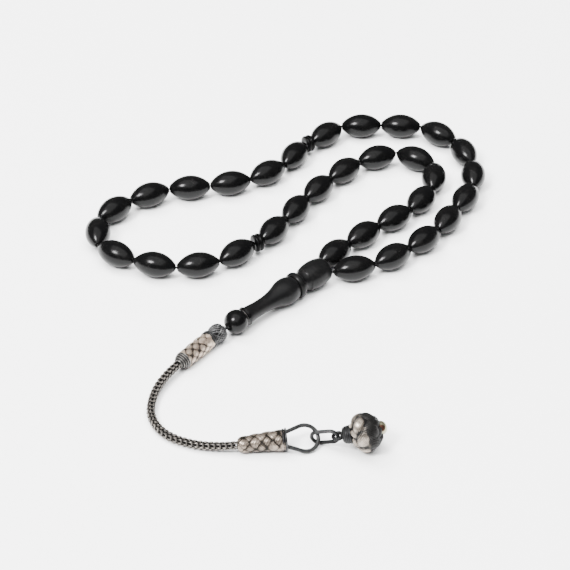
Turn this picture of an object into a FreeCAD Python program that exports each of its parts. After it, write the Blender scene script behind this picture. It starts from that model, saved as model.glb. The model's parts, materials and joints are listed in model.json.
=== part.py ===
"""Misbaha: a strand of thirty-three almond beads with two marker discs, a turned head piece with
its finial bead, and a silver tassel of woven sleeves, a limp foxtail chain, a ring, a link and a
woven drop.  Millimetres, +Z up, the object lying on the plane z = 0.

The strand is laid out bead after bead from the head piece's mouth, and the tassel piece after piece
from the finial, so every piece takes its place from the pieces before it.
"""
import FreeCAD, Part
import math
import os
import re

import Sketcher
from FreeCAD import Placement, Rotation, Vector

DOC = FreeCAD.newDocument("misbaha")
SHEET = DOC.addObject("Spreadsheet::Sheet", "sizes")

# Driving dimensions.  Widths are diameters; lengths and reaches run along a piece's own axis.
SIZES = {
    # strand
    "bead_length": 13.0, "bead_width": 7.9, "bead_tip_width": 2.0, "bead_bore": 1.3,
    "disc_length": 2.4, "disc_width": 5.6, "disc_groove": 0.4,
    "strand_play": 0.16, "thread_width": 0.8, "thread_reach": 1.7,
    # head piece, from its neck end to its mouth
    "cord_bore": 2.2, "neck_end_width": 5.3, "neck_length": 9.2, "neck_width": 5.0, "neck_waist": 0.25,
    "flare_length": 4.4, "flare_width": 7.3, "flare_dip": 0.12, "bulb_length": 5.4, "bulb_width": 8.4,
    "groove_length": 0.6, "groove_width": 6.4,
    "collar_length": 1.95, "collar_width": 8.35, "collar_edge_width": 7.5,
    "cove_length": 2.55, "cove_width": 7.0, "cove_dip": 0.45,
    "head_length": 8.0, "head_width": 8.7, "head_edge_width": 7.3, "lip_length": 0.35,
    "lip_width": 6.8, "mouth_width": 6.3, "mouth_depth": 3.0, "strand_depth": 5.4,
    # finial bead with its seam ring and rim, and the thread's tail
    "finial_width": 7.3, "seam_width": 5.5, "seam_core": 4.6, "seam_length": 0.3,
    "rim_width": 5.9, "rim_length": 1.0, "finial_play": 0.12,
    "tail_width": 1.8, "tail_play": 0.25, "socket_play": 0.15,
    # knot of silver wire and upper sleeve
    "knot_width": 6.1, "upper_length": 14.3, "upper_width": 5.2, "upper_bite": 0.5,
    "collar_rim_width": 5.4, "collar_rim_length": 1.6, "wrap_width": 0.6,
    # chain and lower sleeve
    "chain_width": 2.55, "lower_length": 13.6, "lower_width": 4.4, "skirt_width": 6.0,
    "skirt_rim_width": 6.5, "skirt_rim_length": 0.8, "skirt_mouth_width": 5.8,
    "skirt_floor_width": 4.6, "skirt_depth": 2.2,
    # ring, link and drop
    "ring_wire": 1.15, "ring_bend": 3.72, "ring_reach": 4.95, "ring_leg": 6.6, "leg_angle": 20.0,
    "link_wire": 1.1, "link_room": 0.75, "link_straight": 3.9,
    "eye_wire": 1.1, "eye_room": 0.175, "cap_length": 2.6, "cap_neck_width": 3.2,
    "cap_width": 5.3, "drop_reach": 7.8, "drop_width": 11.5, "drop_length": 9.0,
    "tip_width": 3.9, "tip_reach": 4.0,
}

# Bends of the link's and the eye's wire, which go round the wire that they hang on with room to
# spare.  The cap starts at the middle of the eye's wire.
LINK_BEND = "((link_wire + ring_wire) / 2 + link_room)"
EYE_BEND = "((eye_wire + link_wire) / 2 + eye_room)"

# Headings, in degrees anticlockwise from +X, of the pieces of the strand from the mouth's right-hand
# side round to its left-hand side.  "disc" entries stand between the three counts of eleven beads.
FIRST_ELEVEN = (16, 37, 45, 60, 62, 88, 110, 142, 176, 183, 224)
SECOND_ELEVEN = (241, 217, 195, 187, 208, 226, 274, 327, 345, 373, 402)
THIRD_ELEVEN = (416, 420, 414, 406, 384, 330, 263, 235, 219, 224, 228)
DISC_HEADINGS = (212, 391)

# Head piece: heading of its axis, and the spots inside its mouth that the first and the last bead
# fan out from, as reach beyond the mouth and offset to the right of the axis.  Each bead's tip
# stands half a bead's width from its spot.
HEAD_HEADING = 43.7
FIRST_SPOT = (-2.2973, 1.2139)
LAST_SPOT = (-2.4389, -2.7038)

# Corners of the thread's two ends inside the mouth, in the same two measures.
FIRST_CORNER_REACH = -0.1
LAST_CORNER_REACH = 0.35
INNER_CORNER = (-2.4, 0.45)

# Tassel: headings, slopes and turns of its pieces.
KNOT_HEADING = 214
SEAT_HEADING = 222
UPPER_HEADING = 232.6
LOWER_HEADING = 5
RING_HEADING = 11
RING_TILT = 31.5
LINK_HEADING = -15
LINK_RISE = 0.33
DROP_HEADING = 0
BALL_TURN = 12

# Route of the chain: its corners as steps in x and y from the upper sleeve's end, with each one's
# height above the lowest that it can lie, and its end.  A first and a last corner stand straight
# out of the sleeves.
CHAIN_STEPS = ((-6.8, -11.4, 0.3), (-7.5, -20.6, 0.0), (-3.3, -28.3, 0.0), (4.9, -32.5, 0.1))
CHAIN_END = (17.5, -33.5)
CHAIN_FIRST_RUN = 5.0
CHAIN_LAST_RUN = 4.1

WRAP_COUNT = 4
REST_GAP = 0.05  # height between the plane and a piece that lies on it


def write_sheet():
    """Put every driving dimension in the sheet as a plain number with its alias."""
    for row, (alias, value) in enumerate(SIZES.items(), start=1):
        SHEET.set(f"A{row}", alias)
        SHEET.set(f"B{row}", str(value))
        SHEET.setAlias(f"B{row}", alias)
    DOC.recompute()


def size(alias):
    """The sheet's value of one driving dimension."""
    return float(getattr(SHEET, alias))


def cell(text):
    """An expression on the sheet: each alias in the text gets the sheet's name in front."""
    return re.sub(r"[a-z]+(?:_[a-z]+)+", lambda word: f"sizes.{word[0]}", str(text))


def value_of(text):
    """The number that an expression on the sheet gives."""
    return float(SHEET.evalExpression(cell(text)))


def heading(degrees, rise=0.0):
    """A vector of unit run along a heading, with its rise."""
    return Vector(math.cos(math.radians(degrees)), math.sin(math.radians(degrees)), rise)


def aimed(place, direction, roll=0.0):
    """The placement that puts a piece's own origin at a place and its own X axis along a direction."""
    along = Vector(direction).normalize()
    side = Vector(0, 0, 1).cross(along).normalize()
    turn = Rotation(along, side, along.cross(side), "XYZ")
    return Placement(place, turn * Rotation(Vector(1, 0, 0), roll))


# --------------------------------------------------------------------------- makers of pieces

def turned(name, outline):
    """A turned body: a closed outline of (station, radius) expressions spun about its own X axis.

    A third entry makes the edge to the next point an arc: its bulge's expression, positive
    outwards.
    """
    body = DOC.addObject("PartDesign::Body", name)
    sketch = body.newObject("Sketcher::SketchObject", f"{name}_outline")
    plane = next(item for item in body.Origin.OriginFeatures if item.Role == "XY_Plane")
    sketch.AttachmentSupport = (plane, [""])
    sketch.MapMode = "FlatFace"
    points = [Vector(value_of(entry[0]), value_of(entry[1]), 0) for entry in outline]
    edges = []
    for index, entry in enumerate(outline):
        start, end = points[index], points[(index + 1) % len(points)]
        if len(entry) > 2:
            chord = end - start
            outwards = Vector(-chord.y, chord.x, 0).normalize() * value_of(entry[2])
            edges.append(Part.Arc(start, (start + end) / 2 + outwards, end))
        else:
            edges.append(Part.LineSegment(start, end))
    sketch.addGeometry(edges, False)
    bind_outline(sketch, outline, points)
    turn = body.newObject("PartDesign::Revolution", f"{name}_turn")
    turn.Profile = sketch
    turn.ReferenceAxis = (sketch, ["H_Axis"])
    turn.Angle = 360.0
    body.Label = name
    body.Tip = turn
    return body


def bind_outline(sketch, outline, points):
    """Tie each corner and each arc of a turned outline to the sheet."""
    count = len(outline)
    starts = [1] * count
    for index, entry in enumerate(outline):
        if len(entry) > 2:
            ahead = sketch.getPoint(index, 1) - points[index]
            starts[index] = 1 if ahead.Length < 1e-6 else 2
    for index in range(count):
        after = (index + 1) % count
        ends = 3 - starts[index]
        join = Sketcher.Constraint("Coincident", index, ends, after, starts[after])
        sketch.addConstraint(join)
    for index, entry in enumerate(outline):
        for kind, text, amount in (("DistanceX", entry[0], points[index].x),
                                   ("DistanceY", entry[1], points[index].y)):
            number = sketch.addConstraint(
                Sketcher.Constraint(kind, -1, 1, index, starts[index], amount))
            sketch.setExpression(f"Constraints[{number}]", cell(text))
        if len(entry) > 2:
            after = outline[(index + 1) % count]
            span = f"(({after[0]} - ({entry[0]}))^2 + ({after[1]} - ({entry[1]}))^2)"
            text = f"({span} / 4 + ({entry[2]})^2) / (2 * abs({entry[2]}))"
            number = sketch.addConstraint(Sketcher.Constraint("Radius", index, value_of(text)))
            sketch.setExpression(f"Constraints[{number}]", cell(text))


def wire_piece(name, parts):
    """A piece of bent wire: its straight rods and bends, made as primitives and fused."""
    fuse = DOC.addObject("Part::MultiFuse", name)
    fuse.Shapes = parts
    fuse.Label = name
    return fuse


def rod(name, width, length, spot):
    """A round rod that stands at a spot and runs along the spot's Z axis."""
    piece = DOC.addObject("Part::Cylinder", name)
    piece.setExpression("Radius", cell(f"({width}) / 2"))
    piece.setExpression("Height", cell(length))
    piece.Placement = spot
    return piece


def bend(name, width, reach, sweep, spot):
    """A bend of round wire about a spot's Z axis, from the spot's X axis through the sweep."""
    piece = DOC.addObject("Part::Torus", name)
    piece.setExpression("Radius1", cell(reach))
    piece.setExpression("Radius2", cell(f"({width}) / 2"))
    piece.setExpression("Angle3", cell(sweep))
    piece.Placement = spot
    return piece


def ball(name, width, spot):
    """A whole ball at a spot."""
    piece = DOC.addObject("Part::Sphere", name)
    piece.setExpression("Radius", cell(f"({width}) / 2"))
    piece.Placement = Placement(spot, Rotation())
    return piece


def without(name, base, tool):
    """A piece less the room that a tool takes from it."""
    cut = DOC.addObject("Part::Cut", name)
    cut.Base = base
    cut.Tool = tool
    cut.Label = name
    return cut


def corded(name, points, width, radii):
    """A cord: round section swept along straight runs joined by tangent arcs."""
    edges = []
    last = points[0]
    for before, point, after, radius in zip(points, points[1:], points[2:], radii):
        inward, onward = (before - point).normalize(), (after - point).normalize()
        half_turn = (math.pi - inward.getAngle(onward)) / 2
        reach = radius * math.tan(half_turn)
        centre = point + (inward + onward).normalize() * (radius / math.cos(half_turn))
        start, end = point + inward * reach, point + onward * reach
        middle = centre + (point - centre).normalize() * radius
        edges.append(Part.LineSegment(last, start).toShape())
        edges.append(Part.Arc(start, middle, end).toShape())
        last = end
    edges.append(Part.LineSegment(last, points[-1]).toShape())
    path = Part.Wire(edges)
    section = Part.Wire([Part.Circle(points[0], points[1] - points[0], width / 2).toShape()])
    piece = DOC.addObject("Part::Feature", name)
    piece.Label = name
    piece.Shape = path.makePipeShell([section], True, False)
    expected = math.pi * width ** 2 / 4 * path.Length
    print(f"{name}: length {path.Length:.1f}, radii {min(radii):.1f} to {max(radii):.1f}, "
          f"volume {piece.Shape.Volume / expected:.4f} of its section times its length")
    return piece


# --------------------------------------------------------------------------- layout of the strand

def turn_gap(before, after):
    """Reach from the tip of one piece to the corner where the strand turns to the next."""
    turn = math.radians(abs((after - before + 180) % 360 - 180))
    return size("strand_play") / 2 + size("bead_tip_width") / 2 * math.tan(turn / 2)


def walk(start, pieces, lean):
    """Follow the strand: each piece's name, middle, heading and length, and its corners."""
    headings = []
    for _, angle, _ in pieces:
        tilt = math.radians(angle)
        headings.append(angle + math.degrees(lean[1] * math.cos(tilt) - lean[0] * math.sin(tilt)))
    spot, placed, corners = start, [], []
    for index, (name, _, length) in enumerate(pieces):
        along = heading(headings[index])
        placed.append((name, spot + along * (length / 2), headings[index]))
        spot = spot + along * length
        if index + 1 < len(pieces):
            gap = turn_gap(headings[index], headings[index + 1])
            corners.append(spot + along * gap)
            spot = corners[-1] + heading(headings[index + 1]) * gap
    return placed, corners, spot


def close_strand(start, end, pieces):
    """Lean every heading a little, in two proportions, until the strand ends at its last tip."""
    lean = [0.0, 0.0]
    step = 1e-4
    for _ in range(25):
        miss = end - walk(start, pieces, lean)[2]
        reached = end - miss
        across = (walk(start, pieces, [lean[0] + step, lean[1]])[2] - reached) / step
        along = (walk(start, pieces, [lean[0], lean[1] + step])[2] - reached) / step
        scale = across.x * along.y - across.y * along.x
        lean[0] += (miss.x * along.y - miss.y * along.x) / scale
        lean[1] += (across.x * miss.y - across.y * miss.x) / scale
    return walk(start, pieces, lean)


def strand_pieces():
    """Names, headings and lengths of the strand's pieces in order."""
    pieces, count = [], 0
    for group, eleven in enumerate((FIRST_ELEVEN, SECOND_ELEVEN, THIRD_ELEVEN)):
        for angle in eleven:
            count += 1
            pieces.append((f"bead_{count:02d}", angle, size("bead_length")))
        if group < len(DISC_HEADINGS):
            pieces.append((f"marker_disc_{group + 1}", DISC_HEADINGS[group], size("disc_length")))
    return pieces


# --------------------------------------------------------------------------- strand

def height(alias):
    """Height of the axis of a round piece that lies on the plane."""
    return size(alias) / 2 + REST_GAP


def dome(width, start, end):
    """Bulge of the arc that a ball of this width has between two (station, radius) corners."""
    span = f"(({end[0]} - ({start[0]}))^2 + ({end[1]} - ({start[1]}))^2)"
    return f"{width} / 2 - sqrt(({width} / 2)^2 - {span} / 4)"


def make_bead(name):
    """An almond bead: one long arc between two flat tips, with a straight bore."""
    return turned(name, [
        ("0", "bead_bore / 2"),
        ("0", "bead_tip_width / 2", "(bead_width - bead_tip_width) / 2"),
        ("bead_length", "bead_tip_width / 2"),
        ("bead_length", "bead_bore / 2"),
    ])


def make_disc(name):
    """A marker disc: two rounded rims side by side on the strand."""
    edge = "disc_width / 2 - disc_groove"
    return turned(name, [
        ("0", "bead_bore / 2"),
        ("0", edge, "disc_groove"),
        ("disc_length / 2", edge, "disc_groove"),
        ("disc_length", edge),
        ("disc_length", "bead_bore / 2"),
    ])


def make_strand(mouth, axis):
    """Beads and discs in a closed loop from the mouth, and the thread through all of them."""
    right = axis.cross(Vector(0, 0, 1)).normalize()
    flat = Vector(axis.x, axis.y, 0).normalize()
    level = Vector(mouth.x, mouth.y, height("bead_width"))
    reach = size("bead_width") / 2
    first = level + flat * FIRST_SPOT[0] + right * FIRST_SPOT[1] + heading(FIRST_ELEVEN[0]) * reach
    last = level + flat * LAST_SPOT[0] + right * LAST_SPOT[1] - heading(THIRD_ELEVEN[-1]) * reach
    placed, corners, _ = close_strand(first, last, strand_pieces())
    made = []
    for name, middle, angle in placed:
        is_bead = name.startswith("bead")
        piece = make_bead(name) if is_bead else make_disc(name)
        half = size("bead_length" if is_bead else "disc_length") / 2
        piece.Placement = aimed(middle - heading(angle) * half, heading(angle))
        made.append(piece)

    ends = []
    for tip, along, reach, side in ((first, heading(placed[0][2]), FIRST_CORNER_REACH, 1),
                                    (last, heading(placed[-1][2]) * -1, LAST_CORNER_REACH, -1)):
        back = ((tip - mouth).dot(flat) - reach) / along.dot(flat)
        outer = tip - along * back
        inner = mouth + axis * INNER_CORNER[0] + right * (INNER_CORNER[1] * side)
        deep = mouth - axis * size("strand_depth") + right * (INNER_CORNER[1] * side)
        ends.append([deep, inner, outer])
    route = ends[0] + corners + ends[1][::-1]
    radii = []
    for before, point, after in zip(route, route[1:], route[2:]):
        half_turn = (point - before).getAngle(after - point) / 2
        run = min((point - before).Length, (after - point).Length)
        radii.append(min(size("thread_reach"), 0.45 * run) / math.tan(half_turn))
    made.append(corded("strand_thread", route, size("thread_width"), radii))
    return made


# --------------------------------------------------------------------------- head piece and finial

def head_stations():
    """Stations along the head piece, from its neck end, as expressions on the sheet."""
    steps = ("neck_length", "flare_length", "bulb_length", "groove_length", "collar_length",
             "cove_length", "head_length", "lip_length")
    return [" + ".join(steps[:count + 1]) for count in range(len(steps))]


def head_rest():
    """Rise of the head piece's axis and its height at the barrel, as it lies on its bulb and on
    its barrel or its collar, whichever touches the plane first.
    """
    to_collar = size("bulb_length") / 2 + size("groove_length") + size("collar_length") / 2
    to_barrel = to_collar + size("collar_length") / 2 + size("cove_length") + size("head_length") / 2
    rise = max((size("collar_width") - size("bulb_width")) / 2 / to_collar,
               (size("head_width") - size("bulb_width")) / 2 / to_barrel)
    return rise, height("bulb_width") + rise * to_barrel


def make_head():
    """The turned head piece: neck, bulb, collar, cove and barrel, with a countersunk mouth."""
    neck, flare, bulb, groove, collar, cove, barrel, lip = head_stations()
    return turned("head_piece", [
        ("0", "cord_bore / 2"),
        ("0", "neck_end_width / 2", "-neck_waist"),
        (neck, "neck_width / 2", "-flare_dip"),
        (flare, "flare_width / 2", "(bulb_width - flare_width) / 2"),
        (bulb, "flare_width / 2"),
        (bulb, "groove_width / 2"),
        (groove, "groove_width / 2"),
        (groove, "collar_edge_width / 2", "(collar_width - collar_edge_width) / 2"),
        (collar, "collar_edge_width / 2"),
        (collar, "cove_width / 2", "-cove_dip"),
        (cove, "cove_width / 2"),
        (cove, "head_edge_width / 2", "(head_width - head_edge_width) / 2"),
        (barrel, "head_edge_width / 2"),
        (lip, "lip_width / 2"),
        (lip, "mouth_width / 2"),
        (f"{lip} - mouth_depth", "cord_bore / 2"),
    ])


def finial_stations():
    """Stations along the finial, from its pole: bore edge, seam, seam's far side, end of the rim."""
    pole = "finial_width / 2 - sqrt((finial_width / 2)^2 - (cord_bore / 2)^2)"
    seam = "finial_width / 2 + sqrt((finial_width / 2)^2 - (seam_width / 2)^2)"
    return pole, seam, f"{seam} + seam_length", f"{seam} + seam_length + rim_length"


def make_finial():
    """The finial bead: a bored ball with a groove for the seam ring and a flared rim."""
    pole, seam, rim, end = finial_stations()
    start, shoulder = (pole, "cord_bore / 2"), (seam, "seam_width / 2")
    return turned("finial_bead", [
        (*start, dome("finial_width", start, shoulder)),
        shoulder,
        (seam, "seam_core / 2"),
        (rim, "seam_core / 2"),
        (rim, "seam_width / 2"),
        (end, "rim_width / 2"),
        (end, "cord_bore / 2"),
    ])


def make_seam():
    """The fine silver ring in the finial's groove."""
    _, seam, rim, _ = finial_stations()
    return turned("finial_seam_ring", [
        (seam, "seam_core / 2"),
        (seam, "seam_width / 2"),
        (rim, "seam_width / 2"),
        (rim, "seam_core / 2"),
    ])


# --------------------------------------------------------------------------- tassel

def make_tail(mouth, axis, pivot):
    """The doubled thread from the strand's ends to the round end that the tassel hangs from."""
    start = mouth - axis * size("strand_depth")
    tail = DOC.addObject("Part::Cylinder", "tail_run")
    tail.setExpression("Radius", cell("tail_width / 2"))
    tail.Height = (start - pivot).Length
    tail.Placement = Placement(pivot, Rotation(Vector(0, 0, 1), axis))
    return wire_piece("thread_tail", [tail, ball("tail_end", "tail_width", pivot)])


def make_knot(pivot, centre):
    """The knot of silver wire: a ball with a round socket for the thread's end."""
    socket = ball("knot_socket", "tail_width + 2 * socket_play", pivot)
    return without("knot_ball", ball("knot_whole", "knot_width", centre), socket)


def make_upper_sleeve(start, along, knot):
    """The upper sleeve, hollowed where its collar sits on the knot, and its wire wraps."""
    under_wraps = f"upper_length - {WRAP_COUNT} * wrap_width"
    whole = turned("upper_sleeve_whole", [
        ("0", "0"),
        ("0", "collar_rim_width / 2"),
        ("collar_rim_length", "collar_rim_width / 2"),
        ("collar_rim_length", "upper_width / 2"),
        (under_wraps, "upper_width / 2"),
        (under_wraps, "upper_width / 2 - wrap_width"),
        ("upper_length", "upper_width / 2 - wrap_width"),
        ("upper_length", "0"),
    ])
    inner, edge = "upper_width / 2 - wrap_width", "upper_width / 2 - wrap_width / 2"
    stations = [f"{under_wraps} + {count} * wrap_width" for count in range(WRAP_COUNT + 1)]
    wraps = turned("upper_wraps", [
        (stations[0], inner),
        *[(station, edge, "wrap_width / 2.01") for station in stations[:-1]],
        (stations[-1], edge),
        (stations[-1], inner),
    ])
    whole.Placement = wraps.Placement = aimed(start, along)
    return [without("upper_sleeve", whole, knot), wraps]


def make_chain(start, start_way, end, end_way):
    """The limp foxtail chain, lying on the plane between its two sleeves."""
    low = height("chain_width")
    corners = [Vector(start.x + across, start.y + along, low + lift)
               for across, along, lift in CHAIN_STEPS]
    route = [start, start + start_way * CHAIN_FIRST_RUN, *corners, end - end_way * CHAIN_LAST_RUN, end]
    radii = []
    for before, point, after in zip(route, route[1:], route[2:]):
        half_turn = (point - before).getAngle(after - point) / 2
        run = min((point - before).Length, (after - point).Length)
        radii.append(0.45 * run / math.tan(half_turn))
    print("chain's corners:", [tuple(round(value, 3) for value in point) for point in route])
    return corded("tassel_chain", route, size("chain_width"), radii)


def make_ring(mouth, along):
    """The ring: a round bend with two straight legs that stand in the lower sleeve's floor."""
    frame = aimed(mouth, along, RING_TILT)
    centre = frame.multVec(Vector(size("ring_reach"), 0, 0))
    spot = Placement(centre, frame.Rotation)
    lean = size("leg_angle")
    start = Rotation(Vector(0, 0, 1), -90 - lean)
    parts = [bend("ring_bend_part", "ring_wire", "ring_bend", "180 + 2 * leg_angle",
                  spot * Placement(Vector(), start))]
    for side in (1, -1):
        place = Rotation(Vector(0, 0, 1), side * (90 + lean)).multVec(Vector(size("ring_bend"), 0, 0))
        away = Vector(-math.cos(math.radians(lean)), -side * math.sin(math.radians(lean)), 0)
        leg = Placement(place, Rotation(Vector(0, 0, 1), away))
        parts.append(rod(f"ring_leg_{'left' if side > 0 else 'right'}", "ring_wire", "ring_leg", spot * leg))
    return wire_piece("tassel_ring", parts), spot


def make_lower_sleeve(start, along, ring):
    """The lower sleeve: a widening skirt with a rim, its mouth holding the ring's legs."""
    rim_start = "lower_length - skirt_rim_length"
    floor = "lower_length - skirt_depth"
    whole = turned("lower_sleeve_whole", [
        ("0", "0"),
        ("0", "lower_width / 2"),
        (rim_start, "skirt_width / 2"),
        (rim_start, "skirt_rim_width / 2"),
        ("lower_length", "skirt_rim_width / 2"),
        ("lower_length", "skirt_mouth_width / 2"),
        (floor, "skirt_floor_width / 2"),
        (floor, "0"),
    ])
    whole.Placement = aimed(start, along)
    return without("lower_sleeve", whole, ring)


def make_link(centre, along):
    """The long link, standing on edge, its first bend round the ring's wire."""
    spot = aimed(centre, along, 90)
    straight, reach = size("link_straight"), value_of(LINK_BEND)
    parts = []
    for end, (shift, turn) in {"near": (0, 90), "far": (straight, -90)}.items():
        place = Placement(Vector(shift, 0, 0), Rotation(Vector(0, 0, 1), turn))
        parts.append(bend(f"link_bend_{end}", "link_wire", LINK_BEND, "180", spot * place))
    for name, side in (("upper", 1), ("under", -1)):
        place = Placement(Vector(0, side * reach, 0), Rotation(Vector(0, 0, 1), Vector(1, 0, 0)))
        parts.append(rod(f"link_bar_{name}", "link_wire", "link_straight", spot * place))
    return wire_piece("tassel_link", parts)


def make_drop(eye, along):
    """The drop: a cap with its eye, the woven ball and the bead at its tip."""
    spot = aimed(eye, along)
    whole = DOC.addObject("Part::Ellipsoid", "drop_ball")
    whole.Label = "drop_ball"
    whole.setExpression("Radius1", cell("drop_length / 2"))
    whole.setExpression("Radius2", cell("drop_width / 2"))
    whole.setExpression("Radius3", cell("drop_width / 2"))
    centre = spot.multVec(Vector(size("drop_reach"), 0, 0))
    ball_way = Rotation(Vector(0, 0, 1), BALL_TURN).multVec(along)
    whole.Placement = Placement(centre, Rotation(Vector(0, 0, 1), ball_way))
    cone = turned("drop_cap_cone", [
        (EYE_BEND, "0"),
        (EYE_BEND, "cap_neck_width / 2"),
        (f"{EYE_BEND} + cap_length", "cap_width / 2"),
        (f"{EYE_BEND} + cap_length", "0"),
    ])
    cone.Placement = spot
    eye_ring = bend("drop_cap_eye", "eye_wire", EYE_BEND, "360", spot)
    cap = without("drop_cap", wire_piece("drop_cap_whole", [cone, eye_ring]), whole)
    tip_spot = centre + ball_way * size("tip_reach")
    tip = without("drop_tip", ball("drop_tip_whole", "tip_width", tip_spot), whole)
    return [whole, cap, tip]


def make_tassel(pivot):
    """The tassel, piece after piece from the pivot at the finial."""
    slope = height("knot_width") - pivot.z
    reach = size("knot_width") / 2 + size("tail_play")
    run = math.sqrt(reach ** 2 - slope ** 2)
    centre = pivot + heading(KNOT_HEADING) * run + Vector(0, 0, slope)
    knot = make_knot(pivot, centre)
    seat = centre + heading(SEAT_HEADING) * (size("knot_width") / 2 - size("upper_bite"))
    seat.z = height("collar_rim_width")
    sleeve_end = seat + heading(UPPER_HEADING) * size("upper_length")
    made = [knot, *make_upper_sleeve(seat, heading(UPPER_HEADING), knot)]

    rise = (size("skirt_rim_width") - size("lower_width")) / 2 / size("lower_length")
    along = heading(LOWER_HEADING, rise).normalize()
    chain_end = Vector(sleeve_end.x + CHAIN_END[0], sleeve_end.y + CHAIN_END[1], height("lower_width"))
    chain = make_chain(sleeve_end, heading(UPPER_HEADING), chain_end, along)
    mouth = chain_end + along * size("lower_length")
    hook_height = value_of(LINK_BEND) + size("link_wire") / 2 + REST_GAP
    ring_run = size("ring_reach") + size("ring_bend")
    ring_way = heading(RING_HEADING, (hook_height - mouth.z) / ring_run).normalize()
    ring, ring_spot = make_ring(mouth, ring_way)
    made += [chain, make_lower_sleeve(chain_end, along, ring), ring]

    link_way = heading(LINK_HEADING, LINK_RISE).normalize()
    hook = ring_spot.multVec(Vector(size("ring_bend"), 0, 0))
    eye = hook + link_way * (size("link_straight") + value_of(LINK_BEND))
    drop_rise = (height("drop_width") - eye.z) / size("drop_reach")
    drop_way = heading(DROP_HEADING, drop_rise).normalize()
    made += [make_link(hook, link_way), *make_drop(eye, drop_way)]
    spots = {"swing": pivot, "chain start": sleeve_end, "chain end": chain_end, "ring hook": hook,
             "ring side": hook + ring_spot.Rotation.multVec(Vector(0, 1, 0)), "eye": eye,
             "eye top": eye + aimed(eye, drop_way).Rotation.multVec(Vector(0, 0, 1))}
    return made, spots


# --------------------------------------------------------------------------- the whole object

def stand_on_origin(pieces):
    """Move every made shape so that the origin is under the middle of the object's box."""
    box = FreeCAD.BoundBox()
    for piece in pieces:
        box.add(piece.Shape.optimalBoundingBox(False))
    shift = Vector(box.Center.x, box.Center.y, box.ZMin) * -1
    for item in DOC.Objects:
        followed = item.TypeId in ("Part::Cut", "Part::MultiFuse")
        if hasattr(item, "Shape") and item.getParentGeoFeatureGroup() is None and not followed:
            item.Placement.Base = item.Placement.Base + shift
    DOC.recompute()
    return shift


def check(pieces):
    """Stop if any object of the document failed or any piece is not one valid closed solid."""
    for item in DOC.Objects:
        if {"Invalid", "Error"} & set(item.State):
            raise RuntimeError(f"{item.Name} is {item.State}")
    for piece in pieces:
        shape = piece.Shape
        if shape.isNull() or not shape.isValid() or len(shape.Solids) != 1:
            raise RuntimeError(f"{piece.Label} is not one valid solid")


def main():
    """Build, check and write every piece."""
    write_sheet()
    rise, level = head_rest()
    axis = heading(HEAD_HEADING, rise).normalize()
    mouth = Vector(0, 0, level)
    head_total = value_of(head_stations()[-1])
    finial_total = value_of(finial_stations()[-1])

    strand = make_strand(mouth, axis)
    head = make_head()
    neck_end = mouth - axis * head_total
    head.Placement = aimed(neck_end, axis)
    pole = neck_end - axis * (size("finial_play") + finial_total)
    finial, seam = make_finial(), make_seam()
    finial.Placement = seam.Placement = aimed(pole, axis)
    pivot = pole - axis * size("tail_play")
    tail = make_tail(mouth, axis, pivot)
    tassel, spots = make_tassel(pivot)
    pieces = [*strand, head, finial, seam, tail, *tassel]
    DOC.recompute()
    check(pieces)
    shift = stand_on_origin(pieces)
    check(pieces)

    for name, spot in {**spots, "mouth": mouth, "neck end": neck_end}.items():
        print(f"{name}: {tuple(round(value, 4) for value in spot + shift)}")
    print("axis of the head piece:", tuple(round(value, 5) for value in axis))
    os.makedirs("parts", exist_ok=True)
    for piece in pieces:
        piece.Shape.exportStep(f"parts/{piece.Label}.step")
    print(f"{len(pieces)} pieces written")


main()
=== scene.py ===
"""Visual model of a misbaha: polished almond beads on a thread, a turned head piece and a woven
silver tassel, laid out on a pale floor.  Every length is in metres."""

import json
import logging
import math
from dataclasses import dataclass, field
from enum import Enum
from typing import Callable, Sequence

import bmesh
import bpy
from mathutils import Matrix, Vector


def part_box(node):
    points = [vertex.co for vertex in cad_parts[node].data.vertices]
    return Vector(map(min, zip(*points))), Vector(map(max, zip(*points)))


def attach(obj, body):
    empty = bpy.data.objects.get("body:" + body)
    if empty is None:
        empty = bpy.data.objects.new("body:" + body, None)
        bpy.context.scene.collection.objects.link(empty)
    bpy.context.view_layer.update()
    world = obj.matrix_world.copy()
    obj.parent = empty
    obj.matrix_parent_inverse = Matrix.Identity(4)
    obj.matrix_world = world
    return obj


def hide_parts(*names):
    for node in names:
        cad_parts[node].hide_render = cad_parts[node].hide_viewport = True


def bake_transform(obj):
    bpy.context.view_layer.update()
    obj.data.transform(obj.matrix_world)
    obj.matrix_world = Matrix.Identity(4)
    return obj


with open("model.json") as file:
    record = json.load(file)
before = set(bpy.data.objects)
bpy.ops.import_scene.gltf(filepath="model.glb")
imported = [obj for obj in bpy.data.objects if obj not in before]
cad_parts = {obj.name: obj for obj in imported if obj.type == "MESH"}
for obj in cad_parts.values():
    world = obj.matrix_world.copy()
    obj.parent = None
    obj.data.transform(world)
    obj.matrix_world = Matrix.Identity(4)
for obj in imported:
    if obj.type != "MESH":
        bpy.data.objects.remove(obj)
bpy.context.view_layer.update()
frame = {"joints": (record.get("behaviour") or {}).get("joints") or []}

LOG = logging.getLogger("misbaha")
MM = 0.001
JOINTS = {joint["name"]: joint for joint in frame["joints"]}
UP = Vector((0.0, 0.0, 1.0))
CREASE = math.radians(42.0)
Colour = tuple[float, float, float]


class Slot(Enum):
    """Names of the record's material slots."""

    BEAD = "bead_black"
    HEAD = "head_black"
    THREAD = "thread_black"
    WOVEN = "silver_woven"
    WIRE = "silver_wire"
    TIP = "tip_gilt"


# ------------------------------------------------------------------ places


@dataclass(frozen=True)
class Spot:
    """Where a piece stands: its own origin, and the way its own X axis points."""

    place: Vector
    along: Vector

    def matrix(self) -> Matrix:
        """The matrix from the piece's own axes, with Y level, to the frame."""
        along = self.along.normalized()
        side = UP.cross(along).normalized()
        turn = Matrix((along, side, along.cross(side))).transposed()
        return Matrix.Translation(self.place) @ turn.to_4x4()

    def moved(self, reach: float) -> "Spot":
        """The same spot, a reach further along its own X axis."""
        return Spot(self.place + self.along.normalized() * reach, self.along)


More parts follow.
